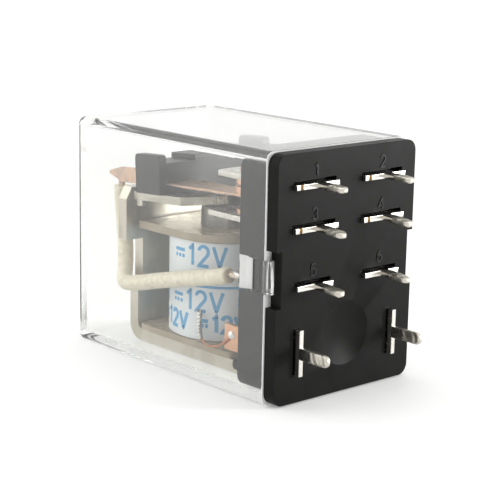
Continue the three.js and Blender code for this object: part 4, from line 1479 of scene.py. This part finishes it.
@dataclass
class Terminals:
    """The eight blades, with softened stamped edges and solder dipped tongues."""

    edge: float = 0.05
    proud: float = 0.55
    coil_proud: float = 0.75
    tongue: float = 1.35
    offset: float = 0.45
    chamfer: float = 0.6
    lug_end: float = -11.2
    step_x: float = -6.0
    lug_low: float = -10.1
    lug_high: float = -7.1
    dipped_from: float = 2.0
    droops: Dict[int, float] = field(
        default_factory=lambda: {1: 0.1, 2: 0.1, 3: 0.3, 4: 0.3, 5: 0.3, 6: 0.3, 7: 0.0, 8: 0.0}
    )
    bare_inset: float = 0.74
    copper_before: float = -6.8

    def build(self) -> None:
        """Makes every terminal."""
        for number in range(1, 9):
            if number < 7:
                self.lying(number)
            else:
                self.upright(number)

    def tongue_shell(
        self, root: float, reach: float, thick: float, droop: float, seed: int,
        to_space: Callable[[Array, Array, Array], Array],
    ) -> Tuple[Array, List[Array]]:
        """A tongue as rings along its length.

        A ring is a superellipse: each half size times the cosine or sine to a
        power, squarer on the plate and rounder in the solder. The half width
        follows the half circle of the tip, the half thickness swells where the
        solder starts and closes over the last part, and the middle line droops
        with a power of the length.

        Args:
            root: X where the tongue leaves the shoulder.
            reach: X of its tip.
            thick: Thickness of the sheet.
            droop: How far the tip hangs down.
            seed: Chooses the phases of the solder's unevenness.
            to_space: Turns (along, across, through) into points.

        Returns:
            The points and faces.
        """
        half = self.tongue / 2
        phase = np.random.default_rng(seed).uniform(0, 6.28, 4)
        x = np.concatenate(
            [
                np.linspace(root - 0.3, reach - 0.8, 46),
                reach - 0.8 + 0.8 * np.sin(np.linspace(0.05, 1.5, 26))
            ]
        )[:, None]
        angle = np.linspace(0, 2 * np.pi, 40, endpoint=False)[None, :]
        solder = np.clip((x - self.dipped_from) / 0.5, 0, 1)
        solder = solder * solder * (3 - 2 * solder)
        tip = np.clip((x - (reach - half)) / half, 0, 1)
        wide = half * np.sqrt(np.maximum(1 - tip**2.2, 0.004)) * (1 + 0.02 * solder)
        close = np.clip((x - (reach - 0.3)) / 0.3, 0, 1)
        deep = thick / 2 * (1 + 0.13 * solder) * np.sqrt(np.maximum(1 - 0.93 * close**2, 0.02))
        lump = 1 + solder * (
            0.06 * np.sin(3.1 * x + phase[0]) + 0.05 * np.sin(5.3 * x + 2 * angle + phase[1])
            + 0.03 * np.sin(8.7 * x + 3 * angle + phase[2])
        )
        power = 2 / (7.0 - 3.6 * solder)
        across = wide * np.sign(np.cos(angle)) * np.abs(np.cos(angle)) ** power * (
            1 + 0.3 * (lump - 1)
        )
        through = deep * np.sign(np.sin(angle)) * np.abs(np.sin(angle)) ** power * lump
        fall = droop * np.clip((x - root) / (reach - root), 0, 1) ** 1.4
        along = np.broadcast_to(x, across.shape)
        rings = to_space(along, across, through - fall)
        return loft(rings)

    def lying(self, number: int) -> None:
        """A lying blade with its tongue.

        Args:
            number: Terminal number.
        """
        node = f"terminal_{number}"
        low, high = low_high(node)
        y, z, thick = (low[1] + high[1]) / 2, (low[2] + high[2]) / 2, high[2] - low[2]
        c = self.chamfer
        outline = np.array(
            [
                (low[0] + 0.4, low[1]), (self.proud, low[1]), (self.proud, high[1]),
                (low[0] + 0.4, high[1]), (low[0], high[1] - c), (low[0], low[1] + c),
            ]
        )
        flat = plate(outline, thick, self.edge, lambda u, v, l: np.stack([u, v, z + l], axis=-1))
        tongue = self.tongue_shell(
            self.proud, high[0], thick, self.droops[number], 40 + number,
            lambda a, c, t: np.stack([a, y + self.offset + c, z + t], axis=-1),
        )
        points, faces = join_shells([flat, tongue])
        piece = make_piece(f"blade_{number}", points, faces, 30.0)
        near = (low[1] + self.bare_inset,) if number < 5 else ()
        self.plate_blade(piece, number, solder_from=self.dipped_from, bare_y=near, proud=self.proud)

    def upright(self, number: int) -> None:
        """An upright coil blade: its tall part with the step down to the lug, and its tongue.

        Args:
            number: Terminal number.
        """
        node = f"terminal_{number}"
        low, high = low_high(node)
        y, thick = (low[1] + high[1]) / 2, high[1] - low[1]
        z0, z1 = low[2], high[2]
        middle = (z0 + z1) / 2
        outline = np.array(
            [
                (self.lug_end, self.lug_low), (self.step_x, self.lug_low), (self.step_x, z0),
                (self.coil_proud, z0), (self.coil_proud, z1), (self.step_x, z1),
                (self.step_x, self.lug_high), (self.lug_end, self.lug_high),
            ]
        )
        flat = plate(outline, thick, self.edge, lambda u, v, l: np.stack([u, y + l, v], axis=-1))
        tongue = self.tongue_shell(
            self.coil_proud, high[0], thick, 0.0, 40 + number,
            lambda a, c, t: np.stack([a, y + t, middle + c], axis=-1),
        )
        points, faces = join_shells([flat, tongue])
        piece = make_piece(f"blade_{number}", points, faces, 30.0)
        self.plate_blade(
            piece, number, solder_from=self.dipped_from + 0.4, proud=self.coil_proud,
            copper_before=self.copper_before,
        )

    @staticmethod
    def plate_blade(piece: bpy.types.Object, number: int, **more: object) -> None:
        """Gives a blade its own tinned finish and puts it in the place of its node.

        Args:
            piece: The blade.
            number: Terminal number.
            more: Where its solder and bare places are.
        """
        finish = TinnedBlade(
            f"tinned_blade_{number}", (0.74, 0.72, 0.67), 0.17, dull=(0.5, 0.47, 0.42),
            turn=(0.5, 1.0, 1.0), **more,
        )
        fit_piece(piece, HOUSING, "tinned_brass", Palette.own(finish), f"terminal_{number}")


@dataclass
class Contacts:
    """Fixed contacts, moving springs and the contacts riveted through them."""

    spring_edge: float = 0.04

    def build(self) -> None:
        """Makes both poles."""
        for side in Side:
            tag = side.tag
            for kind in ("nc", "no"):
                node = f"contact_{kind}_{tag}"
                piece = softened(node, f"rivet_{kind}_{tag}", 0.0, 30.0)
                fit_piece(piece, HOUSING, "contact_metal", Palette.get("contact_alloy"), node)
            node = f"moving_contact_{tag}"
            piece = softened(node, f"rivet_moving_{tag}", 0.0, 30.0)
            fit_piece(piece, MOVER, "contact_metal", Palette.get("contact_alloy"), node)
            node = f"moving_spring_{tag}"
            piece = softened(node, f"spring_blade_{tag}", self.spring_edge)
            fit_piece(piece, MOVER, "copper_strip", Palette.get("copper_strip"), node)


@dataclass
class Magnet:
    """Yoke, core, bobbin, winding, printed label and return spring."""

    axis_x: float = -19.5
    label_radius: float = 7.0
    print_gap: float = 0.012
    wire_pitch: float = 0.16

    def build(self) -> None:
        """Makes every piece of the magnet."""
        yoke = softened("yoke", "yoke_stamping", 0.12)
        fit_piece(yoke, HOUSING, "plated_steel", Palette.get("yoke_plate"), "yoke")
        core = softened("core", "core_turning", 0.0, 30.0)
        fit_piece(core, HOUSING, "plated_steel", Palette.get("core_iron"), "core")
        bobbin = softened("bobbin", "bobbin_moulding_piece", 0.1)
        fit_piece(bobbin, HOUSING, "bobbin_plastic", Palette.get("bobbin_moulding"), "bobbin")
        self.make_winding()
        self.make_label()
        self.make_print()
        self.make_return_spring()

    def make_winding(self) -> None:
        """Winding whose outside shows its turns: the radius dips with a sine of the height."""
        low, high = low_high("winding")
        outer = (high[1] - low[1]) / 2
        inner = 4.1
        z = np.arange(low[2], high[2], self.wire_pitch / 6)
        ridged = outer - 0.05 * (1 - np.abs(np.sin(np.pi * (z - low[2]) / self.wire_pitch)))
        angle = np.linspace(0, 2 * np.pi, 96, endpoint=False)[None, :]
        radius = np.concatenate([[inner], ridged, [inner]])[:, None]
        height = np.concatenate([[z[0]], z, [z[-1]]])[:, None]
        rings = np.stack(
            [self.axis_x + radius * np.cos(angle), radius * np.sin(angle), height + 0 * angle],
            axis=-1
        )
        points = rings.reshape(-1, 3)
        faces = ring_faces(len(rings), 96)
        last = (len(rings) - 1) * 96 + np.arange(96)
        bore = np.column_stack([np.arange(96), last, np.roll(last, -1), np.roll(np.arange(96), -1)])
        piece = make_piece("winding_turns", points, [faces, bore])
        fit_piece(piece, HOUSING, "copper_wire", Palette.get("enamelled_copper"), "winding")

    @staticmethod
    def lap(angle: Array) -> Array:
        """How far the tape's outer end stands over its start at an angle, with small steps."""
        turn = np.mod(angle, 2 * np.pi)
        return 0.04 * np.clip((turn - 1.2) / 0.02, 0, 1) * np.clip((2.6 - turn) / 0.02, 0, 1)

    def make_label(self) -> None:
        """Tape round the coil: a turned ring whose outer end laps over its start."""
        low, high = low_high("coil_label")
        outer = (high[1] - low[1]) / 2
        inner = outer - 0.15
        angle = np.linspace(0, 2 * np.pi, 160, endpoint=False)
        lap = self.lap(angle)
        rings = []
        for radius, z in ((inner, low[2]), (outer, low[2]), (outer, high[2]), (inner, high[2])):
            r = radius + (lap if radius == outer else 0 * lap)
            rings.append(
                np.column_stack(
                    [self.axis_x + r * np.cos(angle), r * np.sin(angle), np.full(160, z)]
                )
            )
        points = np.stack(rings).reshape(-1, 3)
        faces = ring_faces(4, 160)
        start, last = np.arange(160), 480 + np.arange(160)
        bore = np.column_stack([start, last, np.roll(last, -1), np.roll(start, -1)])
        piece = make_piece("label_tape", points, [faces, bore], 30.0)
        fit_piece(piece, HOUSING, "label_tape", Palette.get("label_paper"), "coil_label")

    def on_label(self, turn_deg: float, z: float) -> Callable[[Array, Array, Array], Array]:
        """Wraps a flat drawing round the label.

        The distance across is an arc length, so the angle is the start plus it
        over the radius, and the height is kept.

        Args:
            turn_deg: Angle of the drawing's left end, from +X toward +Y.
            z: Height of its foot.

        Returns:
            A function of across, up and level.
        """
        radius = self.label_radius

        def wrap(u: Array, v: Array, level: Array) -> Array:
            """Points on the label."""
            angle = math.radians(turn_deg) + u / radius
            r = radius - 0.01 + level + self.lap(angle)
            return np.stack([self.axis_x + r * np.cos(angle), r * np.sin(angle), z + v], axis=-1)

        return wrap

    def make_print(self) -> None:
        """Blue print: rows of a plain rating with the sign of direct current, and rules."""
        shells: List[Tuple[Array, List[Array]]] = []
        deep = self.print_gap + 0.01
        rows = ((-1.66, 2.36, 0.4, -101.0), (-7.05, 2.34, 0.4, -103.0), (-9.5, 1.95, 0.46, -131.0))
        for z, height, weight, start in rows:
            text = "=12V "
            wide = Figures.width(text + text, height) - Figures.width(text, height)
            count = int(2 * np.pi * self.label_radius / wide)
            for k in range(count):
                turn = start + 360.0 * k / count
                shells += Figures.shells(text, height, weight, deep, self.on_label(turn, z))
        rule = np.array([(0.0, 0.0), (2 * np.pi * self.label_radius - 0.3, 0.0)])
        shells.append(Figures.ribbon(rule, 0.3, deep, self.on_label(60.0, -4.1)))
        points, faces = join_shells(shells)
        piece = make_piece("label_print", points, faces)
        fit_piece(piece, HOUSING, "label_tape", Palette.get("label_ink"))

    def make_return_spring(self) -> None:
        """Return spring: a helix from the yoke's hook to the armature's tail."""
        low, high = low_high("return_spring")
        x, y = (low[0] + high[0]) / 2, 0.0
        radius, wire, turns = 1.05, 0.15, 8
        z0, z1 = low[2] + 1.95, high[2] - 2.2
        t = np.linspace(0, 1, turns * 24)
        angle = 2 * np.pi * turns * t
        coil = np.column_stack(
            [x + radius * np.cos(angle), y + radius * np.sin(angle), z0 + (z1 - z0) * t]
        )
        foot = [(x, y, low[2]), (x, y, low[2] + 1.05), (x + 0.35, y, low[2] + 1.6)]
        head = [(x + 0.35, y, z1 + 0.4), (x, y, z1 + 0.85), (x, y, high[2])]
        path = np.vstack([foot, coil, head])
        line = smooth_path(path, 520)
        points, faces, _ = tube(line, np.array([wire]), 10)
        piece = make_piece("return_coil", points, faces, 60.0)
        dress(piece, Palette.get("spring_wire"))
        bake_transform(piece)
        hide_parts("return_spring")
        LOG.info("piece return_coil bends between %s and %s", HOUSING, MOVER)


@dataclass
class ArmatureGroup:
    """Armature plate and the insulating carrier."""

    def build(self) -> None:
        """Makes both pieces."""
        plate_piece = softened("armature", "armature_stamping", 0.1)
        fit_piece(plate_piece, MOVER, "plated_steel", Palette.get("nickel_plate"), "armature")
        carrier = softened("carrier", "carrier_block", 0.1)
        fit_piece(carrier, MOVER, "base_plastic", Palette.get("carrier_moulding"), "carrier")


@dataclass
class Wiring:
    """Lead wires from the moving springs to the common blades, coil leads and solder."""

    sleeve_radius: float = 0.95

    def build(self) -> None:
        """Makes the wires of both sides."""
        for side in Side:
            self.make_lead(side)
            self.make_coil_lead(side)

    def route(self, side: Side) -> List[Tuple[float, float, float]]:
        """Points of a lead wire: the spring's tab, down behind the yoke, forward to its blade.

        Args:
            side: Its pole.

        Returns:
            The points, tab first.
        """
        s = side.value
        return [
            (-31.55, s * 6.77, 7.67), (-31.55, s * 6.77, 5.72),
            (-31.86, s * 6.45, 3.92), (-31.8, s * 6.0, -1.5), (-31.2, s * 6.45, -4.4),
            (-29.2, s * 8.04, -5.6),
            (-26.1, s * 8.55, -5.15), (-22.0, s * 8.6, -4.1), (-17.0, s * 8.6, -2.9),
            (-12.0, s * 8.55, -1.75),
            (-9.9, s * 8.39, -1.15), (-9.3, s * 8.345, -0.95), (-7.9, s * 8.345, -0.9),
        ]

    def make_lead(self, side: Side) -> None:
        """Sleeve and strands of a lead wire.

        Args:
            side: Its pole.
        """
        s, tag = side.value, side.tag
        route = self.route(side)
        line = smooth_path(route, 260)
        run = run_length(line)
        covered = (run > 1.95) & (line[:, 2] < 6.0) & ((line[:, 0] < -9.45) | (run < 12))
        close = np.clip((run[covered] - run[covered][-1] + 0.35) / 0.35, 0, 1)
        radius = self.sleeve_radius * np.sqrt(1 - 0.55 * close**2)
        points, faces, uv = tube(line[covered], radius, 28, 0.012, 0.7 * s)
        sleeve = make_piece(f"sleeve_{tag}", points, faces, 50.0, uv)
        dress(sleeve, Palette.get("cream_sleeve"))
        strands = []
        count = int(run[-1] / 0.12)
        fine = smooth_path(route, count)
        _, across, second = carried_frames(fine)
        length = run_length(fine)
        for k in range(7):
            off = 0.0 if k == 6 else 0.26
            angle = (2 * np.pi * (length / 5.0 + k / 6.0))[:, None]
            path = fine + off * (np.cos(angle) * across + np.sin(angle) * second)
            strands.append(tube(path, np.array([0.15]), 8)[:2])
        points, faces = join_shells(strands)
        strand = make_piece(f"strands_{tag}", points, faces, 60.0)
        dress(strand, Palette.get("tinned_strand"))
        for piece, slot, node in (
            (sleeve, "wire_sleeve", f"lead_sleeve_{tag}"),
            (strand, "copper_wire", f"lead_strand_{tag}"),
        ):
            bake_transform(piece)
            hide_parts(node)
            LOG.info("piece %s bends between %s and %s", piece.name, MOVER, HOUSING)
        joint = join_shells(
            [
                bead((-8.1, s * 8.3, -0.88), (0.75, 0.42, 0.42), 5),
                bead((-8.6, s * 8.15, -0.62), (0.6, 0.5, 0.25), 6)
            ]
        )
        self.solder(f"solder_common_{tag}", joint, HOUSING)
        joint = join_shells([bead((-31.5, s * 6.95, 7.5), (0.6, 0.42, 0.5), 7)])
        self.solder(f"solder_tab_{tag}", joint, MOVER)

    @staticmethod
    def solder(name: str, joint: Tuple[Array, List[Array]], body: str) -> None:
        """Makes a soldered joint.

        Args:
            name: The piece's name.
            joint: Points and faces.
            body: The body it rides on.
        """
        fit_piece(make_piece(name, *joint, 60.0), body, "tinned_brass", Palette.get("solder"))

    def make_coil_lead(self, side: Side) -> None:
        """Lead of the winding: a tinned twist of two wires, then one wire to the coil blade's lug.

        Args:
            side: Its side.
        """
        s, tag = side.value, side.tag
        x, y = -16.28, s * 6.55
        twist = smooth_path(
            [(x, y + s * 0.5, -6.8), (x, y + s * 0.5, -9.2), (x + 0.4, y + s * 0.6, -10.1)], 90
        )
        _, across, second = carried_frames(twist)
        length = np.linspace(0, 1, len(twist))[:, None]
        shells = []
        for k in range(2):
            angle = 2 * np.pi * (4.0 * length + 0.5 * k)
            path = twist + 0.16 * (np.cos(angle) * across + np.sin(angle) * second)
            shells.append(tube(path, np.array([0.19]), 12, 0.12, 1.3 * k)[:2])
        points, faces = join_shells(shells)
        piece = make_piece(f"coil_twist_{tag}", points, faces, 60.0)
        fit_piece(piece, HOUSING, "copper_wire", Palette.get("solder"), f"coil_lead_{tag}")
        line = smooth_path(
            [
                (x + 0.3, y + s * 0.55, -9.9), (x + 1.2, y + s * 0.7, -10.35),
                (x + 2.6, y + s * 1.1, -10.35),
                (-11.9, s * 7.75, -9.9), (-10.6, s * 7.78, -8.9), (-9.9, s * 7.7, -8.3),
            ],
            90,
        )
        points, faces, _ = tube(line, np.array([0.13]), 12, 0.02, s)
        piece = make_piece(f"coil_wire_{tag}", points, faces, 60.0)
        fit_piece(piece, HOUSING, "copper_wire", Palette.get("enamelled_copper"))
        joint = join_shells([bead((-9.95, s * 7.55, -8.25), (0.55, 0.32, 0.5), 9)])
        self.solder(f"solder_coil_{tag}", joint, HOUSING)


# ---- studio --------------------------------------------------------------------


@dataclass
class Studio:
    """Camera, pale floor, even background light and soft lamps."""

    azimuth_deg: float = 47.927
    height_deg: float = 12.576
    roll_deg: float = 1.159
    distance: float = 179.43
    lens_mm: float = 109.645
    aim: Tuple[float, float, float] = (-15.0, 0.0, 0.0)
    aside: float = -0.655
    above: float = -0.347
    floor_z: float = -14.0

    def axes(self) -> Tuple[Vector, Vector, Vector]:
        """Right, up and back directions of the camera, from its three angles."""
        a, e, r = (math.radians(v) for v in (self.azimuth_deg, self.height_deg, self.roll_deg))
        back = Vector((math.sin(a) * math.cos(e), -math.cos(a) * math.cos(e), math.sin(e)))
        right = Vector((0, 0, 1)).cross(back).normalized()
        up = back.cross(right)
        turned_right = math.cos(r) * right + math.sin(r) * up
        turned_up = -math.sin(r) * right + math.cos(r) * up
        return turned_right, turned_up, back

    def make_camera(self) -> None:
        """Sets the camera at its angle and distance from the aim."""
        right, up, back = self.axes()
        spot = Vector(self.aim) + right * self.aside + up * self.above + back * self.distance
        data = bpy.data.cameras.new("view")
        data.lens = self.lens_mm
        data.sensor_width = 36.0
        data.clip_start = 0.01
        data.clip_end = 20.0
        camera = bpy.data.objects.new("view", data)
        turn = Matrix((right, up, back)).transposed()
        camera.matrix_world = Matrix.Translation(spot * MM) @ turn.to_4x4()
        bpy.context.scene.collection.objects.link(camera)
        bpy.context.scene.camera = camera

    def lamp(
        self, name: str, place: Sequence[float], aim: Sequence[float], size: Tuple[float, float],
        power: float
    ) -> None:
        """A rectangular soft lamp that looks at a point.

        Args:
            name: Name of the lamp.
            place: Its place in millimetres.
            aim: The point it looks at, in millimetres.
            size: Its two sides in millimetres.
            power: Its power in watts.
        """
        data = bpy.data.lights.new(name, "AREA")
        data.shape = "RECTANGLE"
        data.size, data.size_y = size[0] * MM, size[1] * MM
        data.energy = power
        lamp = bpy.data.objects.new(name, data)
        look = (Vector(aim) - Vector(place)).normalized()
        turn = look.to_track_quat("-Z", "Y").to_matrix().to_4x4()
        lamp.matrix_world = Matrix.Translation(Vector(place) * MM) @ turn
        bpy.context.scene.collection.objects.link(lamp)

    def make_floor(self) -> None:
        """A wide plain floor: rings whose radius grows by equal shares, with a glow far out."""
        radius = np.geomspace(20, 3000, 24)[:, None]
        angle = np.linspace(0, 2 * np.pi, 48, endpoint=False)[None, :]
        top = np.stack(
            [
                radius * np.cos(angle) - 15, radius * np.sin(angle),
                self.floor_z + 0 * radius * angle
            ],
            axis=-1
        )
        under = top[::-1] - [0, 0, 1.0]
        rings = np.concatenate([top, under])
        points, faces = loft(rings)
        floor = make_piece("floor", points, faces, 60.0)
        material = bpy.data.materials.new("pale_floor")
        material.use_nodes = True
        shader = material.node_tree.nodes["Principled BSDF"]
        shader.inputs["Base Color"].default_value = (0.93, 0.93, 0.925, 1.0)
        shader.inputs["Roughness"].default_value = 0.6
        shader.inputs["Specular IOR Level"].default_value = 0.2
        shader.inputs["Emission Color"].default_value = (1.0, 1.0, 0.995, 1.0)
        sheet = Sheet(material.node_tree)
        away = sheet.add("ShaderNodeVectorMath", operation="LENGTH")
        sheet.put(away.inputs[0], sheet.add("ShaderNodeTexCoord").outputs["Object"])
        sheet.put(
            shader.inputs["Emission Strength"],
            sheet.remap(away.outputs["Value"], 0.04, 0.45, 0.22, 0.5)
        )
        dress(floor, material)

    def make_world(self, light: float, backdrop: float) -> None:
        """Even white light all round, with a brighter backdrop where it is seen or mirrored.

        Args:
            light: Strength that lights matt surfaces.
            backdrop: Strength that is seen, also in gloss.
        """
        world = bpy.data.worlds.new("studio")
        world.use_nodes = True
        sheet = Sheet(world.node_tree)
        node = world.node_tree.nodes["Background"]
        node.inputs["Color"].default_value = (1.0, 1.0, 0.995, 1.0)
        path = sheet.add("ShaderNodeLightPath")
        seen = sheet.math("SUBTRACT", 1.0, path.outputs["Is Diffuse Ray"])
        sheet.put(
            node.inputs["Strength"], sheet.math("MULTIPLY_ADD", seen, backdrop - light, light)
        )
        bpy.context.scene.world = world

    def build(self) -> None:
        """Makes the camera, the light and the floor."""
        scene = bpy.context.scene
        scene.view_settings.view_transform = "Standard"
        self.make_camera()
        self.make_world(0.58, 1.0)
        self.make_floor()
        middle = (-15.0, 0.0, 0.0)
        self.lamp("key", (150.0, 158.0, 26.0), middle, (60.0, 60.0), 0.31)
        self.lamp("top", (-20.0, 10.0, 260.0), middle, (240.0, 240.0), 0.24)
        self.lamp("left", (-170.0, -150.0, 90.0), middle, (160.0, 160.0), 0.12)


def main() -> None:
    """Builds the studio and every sub-assembly."""
    logging.basicConfig(level=logging.INFO, format="%(name)s: %(message)s")
    Studio().build()
    for assembly in (Housing(), Terminals(), Contacts(), Magnet(), ArmatureGroup(), Wiring()):
        LOG.info("building %s", type(assembly).__name__)
        assembly.build()


if __name__ == "__main__":
    main()
